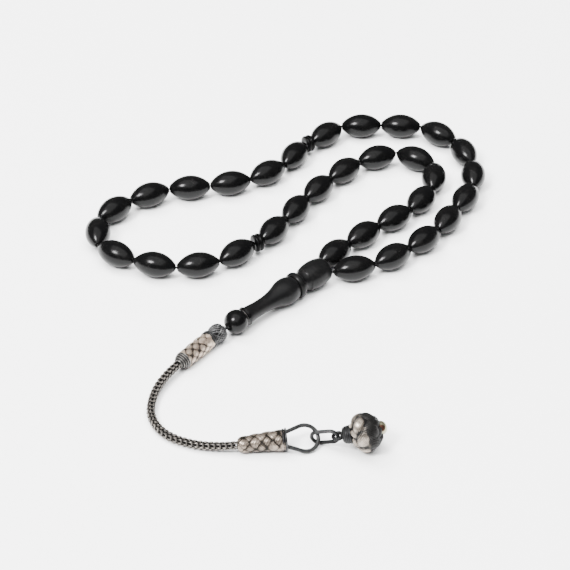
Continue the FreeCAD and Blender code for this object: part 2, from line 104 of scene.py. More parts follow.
def joint_spot(name: str) -> Spot:
    """A joint's point and axis.

    Args:
        name: the joint's name in the record.

    Returns:
        The spot at the joint's point, along its axis.
    """
    joint = JOINTS[name]
    return Spot(Vector(joint["pos_m"]), Vector(joint["axis"]))


def heading(degrees: float, rise: float = 0.0) -> Vector:
    """A level direction by its heading from +X, with a rise for each unit of run."""
    angle = math.radians(degrees)
    return Vector((math.cos(angle), math.sin(angle), rise))


# ------------------------------------------------------------------ shader tools


@dataclass
class Nodes:
    """A node tree that is filled one node at a time."""

    tree: bpy.types.NodeTree

    def add(self, kind: str, **settings: object) -> bpy.types.Node:
        """Add a node.

        Args:
            kind: the node's type name.
            settings: attributes set on the node.

        Returns:
            The new node.
        """
        node = self.tree.nodes.new(kind)
        for name, value in settings.items():
            setattr(node, name, value)
        return node

    def link(self, source: bpy.types.NodeSocket, target: bpy.types.NodeSocket) -> None:
        """Join an output socket to an input socket."""
        self.tree.links.new(source, target)

    def ranged(self, source: bpy.types.NodeSocket, low: float, high: float,
               to_low: float = 0.0, to_high: float = 1.0) -> bpy.types.NodeSocket:
        """Map a value from one range to another with smooth ends.

        Args:
            source: the value to map.
            low: the value that gives to_low.
            high: the value that gives to_high.
            to_low: lower result.
            to_high: upper result.

        Returns:
            The mapped value's socket.
        """
        node = self.add("ShaderNodeMapRange", interpolation_type="SMOOTHSTEP")
        for index, value in enumerate((low, high, to_low, to_high), start=1):
            node.inputs[index].default_value = value
        self.link(source, node.inputs[0])
        return node.outputs[0]

    def maths(self, operation: str, first: object, second: object = 0.5) -> bpy.types.NodeSocket:
        """Combine two values; each is a socket or a number.

        Args:
            operation: the math node's operation.
            first: first value.
            second: second value.

        Returns:
            The result's socket.
        """
        node = self.add("ShaderNodeMath", operation=operation)
        for socket, value in zip(node.inputs, (first, second)):
            if isinstance(value, bpy.types.NodeSocket):
                self.link(value, socket)
            else:
                socket.default_value = value
        return node.outputs[0]

    def noise(self, vector: bpy.types.NodeSocket, scale: float, detail: float = 3.0,
              stretch: Sequence[float] = (1.0, 1.0, 1.0)) -> bpy.types.NodeSocket:
        """A noise pattern.

        Args:
            vector: the coordinates that it reads.
            scale: features per metre.
            detail: octaves of finer noise.
            stretch: scale along each axis before the noise.

        Returns:
            The noise's value socket.
        """
        mapping = self.add("ShaderNodeMapping")
        mapping.inputs["Scale"].default_value = stretch
        self.link(vector, mapping.inputs["Vector"])
        node = self.add("ShaderNodeTexNoise")
        node.inputs["Scale"].default_value = scale
        node.inputs["Detail"].default_value = detail
        self.link(mapping.outputs[0], node.inputs["Vector"])
        return node.outputs["Fac"]

    def blend(self, factor: bpy.types.NodeSocket, first: Colour | bpy.types.NodeSocket,
              second: Colour | bpy.types.NodeSocket) -> bpy.types.NodeSocket:
        """Mix two colours.

        Args:
            factor: 0 gives the first, 1 the second.
            first: a colour, or a colour socket.
            second: a colour, or a colour socket.

        Returns:
            The mixed colour's socket.
        """
        node = self.add("ShaderNodeMix", data_type="RGBA")
        self.link(factor, node.inputs["Factor"])
        for socket, value in zip((node.inputs[6], node.inputs[7]), (first, second)):
            if isinstance(value, bpy.types.NodeSocket):
                self.link(value, socket)
            else:
                socket.default_value = (*value, 1.0)
        return node.outputs[2]


def new_group(name: str, inputs: dict[str, float],
              outputs: Sequence[str]) -> tuple[Nodes, bpy.types.Node, bpy.types.Node]:
    """Start a shader node group that reads a vector and numbers and gives values.

    Args:
        name: the group's name.
        inputs: number inputs and their first values.
        outputs: value outputs.

    Returns:
        The group's nodes, its input node and its output node.
    """
    tree = bpy.data.node_groups.new(name, "ShaderNodeTree")
    tree.interface.new_socket("Vector", in_out="INPUT", socket_type="NodeSocketVector")
    for label, value in inputs.items():
        socket = tree.interface.new_socket(label, in_out="INPUT", socket_type="NodeSocketFloat")
        socket.default_value = value
    for label in outputs:
        tree.interface.new_socket(label, in_out="OUTPUT", socket_type="NodeSocketFloat")
    nodes = Nodes(tree)
    return nodes, nodes.add("NodeGroupInput"), nodes.add("NodeGroupOutput")


def handling_group() -> bpy.types.NodeTree:
    """Marks of handling on a polished piece: cloudy smudges, and hair-fine polishing lines.

    Returns:
        The group, which gives a Smudge and a Lines mask.
    """
    if "handling_marks" in bpy.data.node_groups:
        return bpy.data.node_groups["handling_marks"]
    nodes, source, result = new_group("handling_marks", {"Cover": 0.5}, ("Smudge", "Lines"))
    cloud = nodes.noise(source.outputs["Vector"], 320.0, 4.0)
    wisps = nodes.noise(source.outputs["Vector"], 1500.0, 5.0)
    mixed = nodes.maths("MULTIPLY", nodes.ranged(cloud, 0.35, 0.7), nodes.ranged(wisps, 0.3, 0.75))
    nodes.link(nodes.maths("MULTIPLY", mixed, source.outputs["Cover"]), result.inputs["Smudge"])
    across = nodes.noise(source.outputs["Vector"], 900.0, 2.0, (1.0, 14.0, 14.0))
    along = nodes.noise(source.outputs["Vector"], 900.0, 2.0, (14.0, 1.0, 5.0))
    lines = nodes.maths("ADD", nodes.ranged(across, 0.62, 0.7), nodes.ranged(along, 0.63, 0.7))
    nodes.link(lines, result.inputs["Lines"])
    return nodes.tree


def tarnish_group() -> bpy.types.NodeTree:
    """Tarnish on silver: bright where the metal is proud and rubbed, dark in the recesses; where
    its input carries painted light, bright in painted highlight and dark in painted shade.

    Returns:
        The group, which gives a mask of rubbed metal and painted light, a Blotch mask and a fine
        Grain.
    """
    if "tarnish" in bpy.data.node_groups:
        return bpy.data.node_groups["tarnish"]
    nodes, source, result = new_group("tarnish", {"ProudAndLit": 0.5, "Dark": 0.35, "Bright": 0.75},
                                      ("RubbedAndLit", "Grain", "Blotch"))
    patches = nodes.noise(source.outputs["Vector"], 700.0, 4.0)
    fine = nodes.noise(source.outputs["Vector"], 4200.0, 3.0)
    shift = nodes.maths("MULTIPLY", nodes.maths("SUBTRACT", patches, 0.5), 0.55)
    level = nodes.maths("ADD", source.outputs["ProudAndLit"], shift)
    ramp = nodes.add("ShaderNodeMapRange", interpolation_type="SMOOTHSTEP")
    nodes.link(level, ramp.inputs[0])
    nodes.link(source.outputs["Dark"], ramp.inputs[1])
    nodes.link(source.outputs["Bright"], ramp.inputs[2])
    nodes.link(ramp.outputs[0], result.inputs["RubbedAndLit"])
    nodes.link(fine, result.inputs["Grain"])
    nodes.link(nodes.ranged(patches, 0.35, 0.65), result.inputs["Blotch"])
    return nodes.tree


@dataclass(frozen=True)
class Finish:
    """What every finish has: a name, and the start of its material."""

    name: str

    def start(self) -> tuple[bpy.types.Material, Nodes, bpy.types.Node, bpy.types.NodeSocket]:
        """Start the material.

        Returns:
            The material, its nodes, its Principled BSDF and its object coordinates.
        """
        material = bpy.data.materials.new(self.name)
        material.use_nodes = True
        nodes = Nodes(material.node_tree)
        shader = next(node for node in nodes.tree.nodes if node.type == "BSDF_PRINCIPLED")
        place = nodes.add("ShaderNodeTexCoord").outputs["Object"]
        return material, nodes, shader, place

    def bump(self, nodes: Nodes, shader: bpy.types.Node, height: bpy.types.NodeSocket,
             depth: float, strength: float) -> None:
        """Give the shader a bump.

        Args:
            nodes: the material's nodes.
            shader: its Principled BSDF.
            height: a height between 0 and 1.
            depth: how deep a height of 1 is, in metres.
            strength: how strongly it shows.
        """
        node = nodes.add("ShaderNodeBump")
        node.inputs["Strength"].default_value = strength
        node.inputs["Distance"].default_value = depth
        nodes.link(height, node.inputs["Height"])
        nodes.link(node.outputs[0], shader.inputs["Normal"])


@dataclass(frozen=True)
class Polish(Finish):
    """Polished black stone with cloudy smudges and hair-fine polishing lines."""

    deep: Colour = (0.0018, 0.0018, 0.0019)
    worn: Colour = (0.0050, 0.0048, 0.0046)
    smooth: float = 0.2
    rough: float = 0.3
    cover: float = 0.7
    specular: float = 0.155
    line_depth: float = 0.000004
    line_strength: float = 0.25

    def make(self) -> bpy.types.Material:
        """Build the material.

        Returns:
            The finished material.
        """
        material, nodes, shader, place = self.start()
        marks = nodes.add("ShaderNodeGroup", node_tree=handling_group())
        marks.inputs["Cover"].default_value = self.cover
        nodes.link(place, marks.inputs["Vector"])
        nodes.link(nodes.blend(marks.outputs["Smudge"], self.deep, self.worn),
                   shader.inputs["Base Color"])
        nodes.link(nodes.ranged(marks.outputs["Smudge"], 0.0, 0.8, self.smooth, self.rough),
                   shader.inputs["Roughness"])
        shader.inputs["Specular IOR Level"].default_value = self.specular
        self.bump(nodes, shader, marks.outputs["Lines"], self.line_depth, self.line_strength)
        return material


@dataclass(frozen=True)
class Silver(Finish):
    """Darkened silver that is rubbed bright where it stands proud; on the ring and the link its
    dark and bright are painted shade and painted highlight.
    """

    dark: Colour = (0.007, 0.0068, 0.0065)
    bright: Colour = (0.40, 0.345, 0.30)
    rosy: Colour = (0.25, 0.205, 0.185)
    smooth: float = 0.34
    rough: float = 0.6
    dark_level: float = 0.45
    bright_level: float = 1.0
    metal: float = 0.8
    specular: float = 0.3
    grain_depth: float = 0.00001
    grain_strength: float = 0.35

    def make(self) -> bpy.types.Material:
        """Build the material.

        Returns:
            The finished material.
        """
        material, nodes, shader, place = self.start()
        proud = nodes.add("ShaderNodeAttribute", attribute_name="proud")
        tarnish = nodes.add("ShaderNodeGroup", node_tree=tarnish_group())
        tarnish.inputs["Dark"].default_value = self.dark_level
        tarnish.inputs["Bright"].default_value = self.bright_level
        nodes.link(place, tarnish.inputs["Vector"])
        nodes.link(proud.outputs["Fac"], tarnish.inputs["ProudAndLit"])
        metal = nodes.blend(tarnish.outputs["Blotch"], self.bright, self.rosy)
        # Dark to bright by the mask: tarnish in recesses and rubbed ridges, and on the ring and the
        # link painted shade and painted highlight.
        colour = nodes.blend(tarnish.outputs["RubbedAndLit"], self.dark, metal)
        nodes.link(colour, shader.inputs["Base Color"])
        nodes.link(nodes.ranged(tarnish.outputs["RubbedAndLit"], 0.0, 1.0, self.rough, self.smooth),
                   shader.inputs["Roughness"])
        shader.inputs["Metallic"].default_value = self.metal
        shader.inputs["Specular IOR Level"].default_value = self.specular
        self.bump(nodes, shader, tarnish.outputs["Grain"], self.grain_depth,
                  self.grain_strength)
        return material


@dataclass(frozen=True)
class Waxed(Finish):
    """Waxed black thread with fine fibres."""

    deep: Colour = (0.0012, 0.0012, 0.0012)
    dusty: Colour = (0.006, 0.0058, 0.0055)
    smooth: float = 0.45
    rough: float = 0.75
    specular: float = 0.15
    sheen: float = 0.03
    fibres: float = 9000.0
    fibre_depth: float = 0.00003
    fibre_strength: float = 0.6

    def make(self) -> bpy.types.Material:
        """Build the material.

        Returns:
            The finished material.
        """
        material, nodes, shader, place = self.start()
        marks = nodes.add("ShaderNodeGroup", node_tree=handling_group())
        marks.inputs["Cover"].default_value = 1.0
        nodes.link(place, marks.inputs["Vector"])
        nodes.link(nodes.blend(marks.outputs["Smudge"], self.deep, self.dusty),
                   shader.inputs["Base Color"])
        fibres = nodes.noise(place, self.fibres, 2.0, (1.0, 0.3, 1.0))
        nodes.link(nodes.ranged(fibres, 0.2, 0.8, self.smooth, self.rough),
                   shader.inputs["Roughness"])
        shader.inputs["Specular IOR Level"].default_value = self.specular
        shader.inputs["Sheen Weight"].default_value = self.sheen
        self.bump(nodes, shader, fibres, self.fibre_depth, self.fibre_strength)
        return material


@dataclass(frozen=True)
class Gilt(Finish):
    """Pale gilt with a reddish-brown patch of tarnish on one side, dull in random patches of
    tarnish and in painted shade where its mask is low.
    """

    patch: Colour
    pale: Colour = (0.30, 0.29, 0.19)
    # Dull colour: random tarnish patches, and on the tip painted shade towards the ball.
    tarnish_and_shade: Colour = (0.06, 0.057, 0.045)
    brown: Colour = (0.05, 0.022, 0.014)
    spread: float = 0.0014
    ragged: float = 0.2
    smooth: float = 0.28
    rough: float = 0.5
    metal: float = 0.9
    grain_depth: float = 0.00001
    grain_strength: float = 0.3

    def make(self) -> bpy.types.Material:
        """Build the material.

        Returns:
            The finished material.
        """
        material, nodes, shader, place = self.start()
        tarnish = nodes.add("ShaderNodeGroup", node_tree=tarnish_group())
        proud = nodes.add("ShaderNodeAttribute", attribute_name="proud")
        nodes.link(place, tarnish.inputs["Vector"])
        nodes.link(proud.outputs["Fac"], tarnish.inputs["ProudAndLit"])
        # Dull where the mask is low, pale where it is high: random tarnish, and on the tip painted
        # shade towards the ball.
        colour = nodes.blend(tarnish.outputs["RubbedAndLit"], self.tarnish_and_shade, self.pale)
        centred = nodes.add("ShaderNodeMapping", vector_type="TEXTURE")
        centred.inputs["Location"].default_value = self.patch
        centred.inputs["Scale"].default_value = (self.spread,) * 3
        nodes.link(place, centred.inputs["Vector"])
        ball = nodes.add("ShaderNodeTexGradient", gradient_type="SPHERICAL")
        nodes.link(centred.outputs[0], ball.inputs["Vector"])
        centred_blotch = nodes.maths("SUBTRACT", tarnish.outputs["Blotch"], 0.5)
        edge = nodes.maths("MULTIPLY", centred_blotch, self.ragged)
        spot = nodes.ranged(nodes.maths("ADD", ball.outputs["Fac"], edge), 0.15, 0.55)
        nodes.link(nodes.blend(spot, colour, self.brown), shader.inputs["Base Color"])
        nodes.link(nodes.ranged(spot, 0.0, 1.0, self.smooth, self.rough),
                   shader.inputs["Roughness"])
        shader.inputs["Metallic"].default_value = self.metal
        self.bump(nodes, shader, tarnish.outputs["Grain"], self.grain_depth,
                  self.grain_strength)
        return material


# ------------------------------------------------------------------ mesh tools


def closed_up(mesh: bmesh.types.BMesh, gap: float = 1e-7) -> bmesh.types.BMesh:
    """Merge a shell's doubled points and turn its faces outwards.

    Args:
        mesh: the shell.
        gap: how near two points are to be one.

    Returns:
        The same shell.
    """
    bmesh.ops.remove_doubles(mesh, verts=mesh.verts, dist=gap)
    bmesh.ops.recalc_face_normals(mesh, faces=mesh.faces)
    return mesh


def baked(curve: bpy.types.Curve) -> bpy.types.Mesh:
    """Turn a curve into a mesh and remove the curve.

    Args:
        curve: the curve.

    Returns:
        Its mesh: a tube, or the points of its line if it has no bevel.
    """
    carrier = bpy.data.objects.new("carrier", curve)
    bpy.context.scene.collection.objects.link(carrier)
    bpy.context.view_layer.update()
    data = bpy.data.meshes.new_from_object(
        carrier.evaluated_get(bpy.context.evaluated_depsgraph_get()))
    bpy.data.objects.remove(carrier)
    bpy.data.curves.remove(curve)
    return data


def mark_proud_and_lit(mesh: bmesh.types.BMesh, measure: Callable[[Vector], float]) -> None:
    """Store on each vertex how bright its finish is to be: on most pieces how proud of its
    neighbours it stands, on the ring, the link and the tip painted highlight and painted shade.

    Args:
        mesh: the mesh to mark.
        measure: gives 0 in the deepest recess and 1 on the highest ridge; where it paints light, 0
            is painted shade and 1 painted highlight.
    """
    layer = mesh.verts.layers.float.new("proud")
    for vert in mesh.verts:
        vert[layer] = min(1.0, max(0.0, measure(vert.co)))


def soften(mesh: bmesh.types.BMesh, width: float, limit: float = 35.0, steps: int = 3) -> None:
    """Round every edge that is sharper than a limit.

    Args:
        mesh: the mesh to bevel.
        width: the bevel's offset.
        limit: the least angle between faces, in degrees.
        steps: segments in the round.
    """
    edges = [edge for edge in mesh.edges
             if edge.is_manifold and edge.calc_face_angle() > math.radians(limit)]
    bmesh.ops.bevel(mesh, geom=edges, offset=width, segments=steps, profile=0.5,
                    affect="EDGES", clamp_overlap=True, material=-1)


def deliver(mesh: bmesh.types.BMesh, name: str, finish: bpy.types.Material,
            spot: Spot | None = None) -> bpy.types.Object:
    """Make a finished object of a mesh.

    Args:
        mesh: the shape, in its own axes or in the frame's.
        name: the object's name.
        finish: its material.
        spot: where its own origin goes, if it isn't in the frame's axes already.

    Returns:
        The object, at the origin.
    """
    if spot is not None:
        bmesh.ops.transform(mesh, matrix=spot.matrix(), verts=mesh.verts)
    for face in mesh.faces:
        face.smooth = True
    for edge in mesh.edges:
        if edge.is_manifold:
            edge.smooth = edge.calc_face_angle() < CREASE
    data = bpy.data.meshes.new(name)
    mesh.to_mesh(data)
    mesh.free()
    data.materials.append(finish)
    piece = bpy.data.objects.new(name, data)
    bpy.context.scene.collection.objects.link(piece)
    LOG.info("%s: %d faces", name, len(data.polygons))
    return piece


def seated(piece: bpy.types.Object, body: str, slot: Slot, *nodes: str) -> bpy.types.Object:
    """Let a piece ride on a body and stand for its CAD nodes.

    Args:
        piece: the new piece.
        body: the CAD body it moves with.
        slot: the record's slot; not used.
        nodes: the CAD nodes that it stands for.

    Returns:
        The piece.
    """
    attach(piece, body)
    if nodes:
        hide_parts(*nodes)
    return piece


class Lathe:
    """An outline of stations along X and radii, drawn point by point and then turned about X."""

    def __init__(self, station: float, radius: float) -> None:
        """Start the outline; every station and radius is in millimetres."""
        self.mesh = bmesh.new()
        self.first = self.tip = self.mesh.verts.new((station * MM, 0.0, radius * MM))

    def line(self, station: float, radius: float) -> "Lathe":
        """Draw a straight run.

        Args:
            station: where it ends along X.
            radius: where it ends outwards.

        Returns:
            The same outline.
        """
        made = bmesh.ops.extrude_vert_indiv(self.mesh, verts=[self.tip])
        self.tip = made["verts"][0]
        self.tip.co = (station * MM, 0.0, radius * MM)
        return self

    def arc(self, station: float, radius: float, bulge: float, steps: int = 8) -> "Lathe":
        """Draw an arc to a station and radius.

        Args:
            station: where it ends along X.
            radius: where it ends outwards.
            bulge: its height over its chord, positive outwards.
            steps: runs in the arc.

        Returns:
            The same outline.
        """
        start, end = self.tip.co.copy(), Vector((station * MM, 0.0, radius * MM))
        chord, rise = end - start, abs(bulge) * MM
        reach = ((chord.length / 2) ** 2 + rise ** 2) / (2 * rise)
        sign = math.copysign(1.0, bulge)
        outwards = Vector((-chord.z, 0.0, chord.x)).normalized() * sign
        centre = (start + end) / 2 + outwards * (rise - reach)
        sweep = 2 * math.atan2(chord.length / 2, reach - rise)
        made = bmesh.ops.spin(self.mesh, geom=[self.tip], cent=centre, axis=(0.0, sign, 0.0),
                              angle=sweep, steps=steps)
        self.tip = next(item for item in made["geom_last"] if isinstance(item, bmesh.types.BMVert))
        return self

    def turned(self, steps: int = 48, closed: bool = True) -> bmesh.types.BMesh:
        """Turn the outline into a closed shell.

        Args:
            steps: sides round the axis.
            closed: join the outline's last point to its first, as round a bore.

        Returns:
            The shell, with its faces outwards.
        """
        if closed:
            self.mesh.edges.new((self.tip, self.first))
        bmesh.ops.spin(self.mesh, geom=self.mesh.verts[:] + self.mesh.edges[:], cent=(0, 0, 0),
                       axis=(1, 0, 0), angle=2 * math.pi, steps=steps, use_merge=True)
        return closed_up(self.mesh)


class Rod:
    """A round wire that is drawn from a capped circle, run by run and bend by bend."""

    def __init__(self, width: float, spot: Matrix, sides: int = 14) -> None:
        """Start the wire with a capped circle.

        Args:
            width: the wire's width.
            spot: where it starts, across the spot's own Z axis.
            sides: sides of the wire.
        """
        self.mesh = bmesh.new()
        bmesh.ops.create_circle(self.mesh, cap_ends=True, radius=width / 2, segments=sides,
                                matrix=spot)
        self.tip = self.mesh.faces[:]

    def run(self, way: Vector, steps: int = 4) -> "Rod":
        """Draw the wire straight.

        Args:
            way: the run, from its start to its end.
            steps: how many pieces it is drawn in.

        Returns:
            The same wire.
        """
        for _ in range(steps):
            made = bmesh.ops.extrude_face_region(self.mesh, geom=self.tip)["geom"]
            self.tip = [item for item in made if isinstance(item, bmesh.types.BMFace)]
            moved = [item for item in made if isinstance(item, bmesh.types.BMVert)]
            bmesh.ops.translate(self.mesh, verts=moved, vec=way / steps)
        return self

    def bend(self, centre: Vector, axis: Vector, sweep: float, steps: int = 24) -> "Rod":
        """Draw the wire round a bend.

        Args:
            centre: the bend's middle.
            axis: the axis that it turns about.
            sweep: how far it turns, in radians.
            steps: how many pieces it is drawn in.

        Returns:
            The same wire.
        """
        made = bmesh.ops.spin(self.mesh, geom=self.tip, cent=centre, axis=axis, angle=sweep,
                              steps=steps)["geom_last"]
        self.tip = [item for item in made if isinstance(item, bmesh.types.BMFace)]
        return self

    def done(self, joined: bool = False) -> bmesh.types.BMesh:
        """Finish the wire.

        Args:
            joined: its end meets its start, so both caps go and the loop closes.

        Returns:
            The closed shell.
        """
        if joined:
            caps = [face for face in self.mesh.faces if len(face.verts) > 4]
            bmesh.ops.delete(self.mesh, geom=caps, context="FACES_ONLY")
        return closed_up(self.mesh, 1e-6)


def hoop(width: float, reach: float, station: float, sides: int = 10,
         steps: int = 48) -> bmesh.types.BMesh:
    """A closed hoop of round wire about the X axis.

    Args:
        width: the wire's width.
        reach: radius to the wire's middle.
        station: where it lies along X.
        sides: sides of the wire.
        steps: steps round the hoop.

    Returns:
        The hoop's mesh.
    """
    mesh = bmesh.new()
    place = Matrix.Translation((station, 0.0, reach))
    made = bmesh.ops.create_circle(mesh, radius=width / 2, segments=sides,
                                   matrix=place @ Matrix.Rotation(math.pi / 2, 4, "X"))
    edges = list({edge for vert in made["verts"] for edge in vert.link_edges})
    bmesh.ops.spin(mesh, geom=made["verts"] + edges, cent=(0, 0, 0), axis=(1, 0, 0),
                   angle=2 * math.pi, steps=steps, use_merge=True)
    return closed_up(mesh)


def joined(*parts: bmesh.types.BMesh) -> bmesh.types.BMesh:
    """Put several meshes into one and free them."""
    whole = bmesh.new()
    for part in parts:
        data = bpy.data.meshes.new("part")
        part.to_mesh(data)
        part.free()
        whole.from_mesh(data)
        bpy.data.meshes.remove(data)
    return whole


def wires(lines: Sequence[Sequence[Vector]], width: float, closed: bool,
          resolution: int = 1) -> bmesh.types.BMesh:
    """Round wires along given lines.

    Args:
        lines: the points of each wire's middle.
        width: the wires' width.
        closed: each wire's end joins its start.
        resolution: roundness of the section.

    Returns:
        One mesh with every wire.
    """
    curve = bpy.data.curves.new("wires", "CURVE")
    curve.dimensions = "3D"
    curve.bevel_depth = width / 2
    curve.bevel_resolution = resolution
    curve.use_fill_caps = not closed
    for line in lines:
        spline = curve.splines.new("POLY")
        spline.points.add(len(line) - 1)
        for point, spot in zip(spline.points, line):
            point.co = (*spot, 1.0)
        spline.use_cyclic_u = closed
    data = baked(curve)
    mesh = bmesh.new()
    mesh.from_mesh(data)
    bpy.data.meshes.remove(data)
    return closed_up(mesh)


def even_steps(points: Sequence[Vector], step: float) -> list[tuple[Vector, Vector, float]]:
    """Walk along a line in even steps.

    Args:
        points: the line's points.
        step: the walk's step.

    Returns:
        At each step: the place, the direction and how far it is from the start.
    """
    walked, spent, due = [], 0.0, 0.0
    for before, after in zip(points, points[1:]):
        run = (after - before).length
        while run > 0 and due <= spent + run:
            walked.append((before.lerp(after, (due - spent) / run), (after - before) / run, due))
            due += step
        spent += run
    return walked


def twisted(points: Sequence[Vector], plies: int, width: float, lay: float,
            step: float) -> bmesh.types.BMesh:
    """Plies laid up round a line, as thread is.

    Args:
        points: the line that they follow.
        plies: how many.
        width: width of the whole thread.
        lay: length of one turn.
        step: distance between a ply's points.

    Returns:
        The thread's mesh.
    """
    ply = width / (1 + 1 / math.sin(math.pi / plies)) if plies > 2 else width / 2
    reach = (width - ply) / 2
    lines: list[list[Vector]] = [[] for _ in range(plies)]
    for place, way, run in even_steps(points, step):
        side = UP.cross(way).normalized()
        up = way.cross(side)
        for index, line in enumerate(lines):
            angle = 2 * math.pi * (run / lay + index / plies)
            line.append(place + (side * math.cos(angle) + up * math.sin(angle)) * reach)
    return wires(lines, ply * 1.06, False)


# ------------------------------------------------------------------ strand


@dataclass
class Strand:
    """Thirty-three almond beads and two marker discs on a twisted thread."""

    bead_length: float = 13.0
    bead_width: float = 7.9
    tip_width: float = 2.0
    bore: float = 1.3
    disc_length: float = 2.4
    disc_width: float = 5.6
    disc_groove: float = 0.4
    bead_round: float = 0.12
    disc_round: float = 0.1
    thread_width: float = 0.8
    lay: float = 2.2
    deep: float = 5.4
    inner: tuple[float, float] = (-2.4, 0.55)
    step: float = 0.3

    def bead(self) -> bmesh.types.BMesh:
        """One almond bead with flat drilled tips, about its own middle.

        Returns:
            The bead's shell.
        """
        half, tip, bore = self.bead_length / 2, self.tip_width / 2, self.bore / 2
        lathe = Lathe(-half, bore).line(-half, tip)
        lathe.arc(half, tip, (self.bead_width - self.tip_width) / 2, 30).line(half, bore)
        mesh = lathe.turned(56)
        soften(mesh, self.bead_round * MM, 30.0, 2)
        return mesh

    def disc(self) -> bmesh.types.BMesh:
        """One marker disc: two rounded rims side by side.

        Returns:
            The disc's shell.
        """
        half, bore = self.disc_length / 2, self.bore / 2
        edge = self.disc_width / 2 - self.disc_groove
        lathe = Lathe(-half, bore).line(-half, edge).arc(0.0, edge, self.disc_groove, 8)
        lathe.arc(half, edge, self.disc_groove, 8).line(half, bore)
        mesh = lathe.turned(56)
        soften(mesh, self.disc_round * MM, 50.0, 2)
        return mesh

    def names(self) -> list[str]:
        """The strand's pieces in order: a disc after each of the first two counts of eleven."""
        beads = [f"bead_{number:02d}" for number in range(1, 34)]
        return beads[:11] + ["marker_disc_1"] + beads[11:22] + ["marker_disc_2"] + beads[22:]

    def route(self, mouth: Spot) -> list[Vector]:
        """The thread's line: from inside the head piece through every tip and back.

        Args:
            mouth: the head piece's mouth and axis.

        Returns:
            The line's points.
        """
        axis = mouth.along.normalized()
        right = axis.cross(UP).normalized()
        points: list[Vector] = []
        for name in self.names():
            spot = joint_spot(f"{name}_spin")
            length = self.bead_length if name.startswith("bead") else self.disc_length
            reach = spot.along.normalized() * (length * MM / 2)
            points += [spot.place - reach, spot.place + reach]
        ends = [[mouth.place - axis * (self.deep * MM) + right * (self.inner[1] * MM * side),
                 mouth.place + axis * (self.inner[0] * MM) + right * (self.inner[1] * MM * side)]
                for side in (1, -1)]
        return ends[0] + points + ends[1][::-1]

    def build(self, polish: bpy.types.Material, marker: bpy.types.Material,
              waxed: bpy.types.Material, mouth: Spot) -> None:
        """Make and seat every piece of the strand.

        Args:
            polish: the beads' finish.
            marker: the discs' finish.
            waxed: the thread's finish.
            mouth: the head piece's mouth and axis.
        """
        for name in self.names():
            is_bead = name.startswith("bead")
            shape = self.bead() if is_bead else self.disc()
            piece = deliver(shape, f"{name}_polished", polish if is_bead else marker,
                            joint_spot(f"{name}_spin"))
            seated(piece, f"{name}_body", Slot.BEAD, name)
        thread = twisted(self.route(mouth), 2, self.thread_width * MM, self.lay * MM,
                         self.step * MM)
        seated(deliver(thread, "thread_twisted", waxed), "strand", Slot.THREAD, "strand_thread")


# ------------------------------------------------------------------ head piece and finial


@dataclass
class HeadPiece:
    """The turned head piece: neck, bulb, collar, cove and barrel, with a countersunk mouth."""

    bore: float = 2.2
    total: float = 32.45
    round_over: float = 0.14

    def build(self, finish: bpy.types.Material, mouth: Spot) -> None:
        """Turn the head piece and seat it.

        Args:
            finish: its polish.
            mouth: its mouth and axis.
        """
        bore = self.bore / 2
        lathe = Lathe(0.0, bore)
        lathe.line(0.0, 2.65).arc(9.2, 2.5, -0.25, 12).arc(13.6, 3.65, -0.12, 8)
        lathe.arc(19.0, 3.65, 0.55, 14).line(19.0, 3.2).line(19.6, 3.2).line(19.6, 3.75)
        lathe.arc(21.55, 3.75, 0.425, 10).line(21.55, 3.5).arc(24.1, 3.5, -0.45, 10)
        lathe.line(24.1, 3.65).arc(32.1, 3.65, 0.7, 16).line(32.45, 3.4).line(32.45, 3.15)
        lathe.line(29.45, bore)
        mesh = lathe.turned(80)
        soften(mesh, self.round_over * MM, 28.0, 3)
        piece = deliver(mesh, "head_polished", finish, mouth.moved(-self.total * MM))
        seated(piece, "head", Slot.HEAD, "head_piece")


@dataclass
class Finial:
    """The ball at the neck's end, its fine silver seam ring and its flared rim."""

    width: float = 7.3
    bore: float = 2.2
    play: float = 0.25
    seam_width: float = 5.5
    seam_proud: float = 0.9
    round_over: float = 0.07

    def build(self, finish: bpy.types.Material, silver: bpy.types.Material, pivot: Spot) -> None:
        """Turn the ball and its seam ring and seat them.

        Args:
            finish: the ball's polish.
            silver: the seam ring's finish.
            pivot: where the tassel hangs from, along the head piece's axis.
        """
        half, bore = self.width / 2, self.bore / 2
        spot = pivot.moved(self.play * MM)
        pole = half - math.sqrt(half ** 2 - bore ** 2)
        rim = self.seam_width / 2
        seam = half + math.sqrt(half ** 2 - rim ** 2)
        bulge = half - math.sqrt(half ** 2 - ((seam - pole) ** 2 + (rim - bore) ** 2) / 4)
        lathe = Lathe(pole, bore).arc(seam, rim, bulge, 24)
        lathe.line(seam, 2.3).line(seam + 0.3, 2.3).line(seam + 0.3, rim)
        lathe.arc(seam + 1.3, 2.95, -0.06, 5).line(seam + 1.3, bore)
        ball = lathe.turned(72)
        soften(ball, self.round_over * MM, 28.0, 2)
        seated(deliver(ball, "finial_polished", finish, spot), "finial", Slot.HEAD, "finial_bead")
        ring = Lathe(seam + 0.01, 2.31).line(seam + 0.01, 2.72).arc(seam + 0.29, 2.72, 0.08, 4)
        band = ring.line(seam + 0.29, 2.31).turned(72)
        mark_proud_and_lit(band, lambda _: self.seam_proud)
        seated(deliver(band, "finial_seam", silver, spot), "finial", Slot.WIRE, "finial_seam_ring")


@dataclass
class Tail:
    """The doubled thread through the head piece and the finial, up to the knot."""

    width: float = 1.8
    deep: float = 5.4
    short: float = 0.1
    plies: int = 4
    lay: float = 5.0
    step: float = 0.4

    def build(self, waxed: bpy.types.Material, mouth: Spot, pivot: Spot) -> None:
        """Lay up the tail and seat it.

        Args:
            waxed: its finish.
            mouth: the head piece's mouth and axis.
            pivot: where the tassel hangs from.
        """
        start = mouth.moved(-self.deep * MM).place
        end = pivot.moved(self.short * MM).place
        mesh = twisted([start, end], self.plies, self.width * MM, self.lay * MM,
                       self.step * MM)
        seated(deliver(mesh, "tail_twisted", waxed), "strand", Slot.THREAD, "thread_tail")


# ------------------------------------------------------------------ tassel


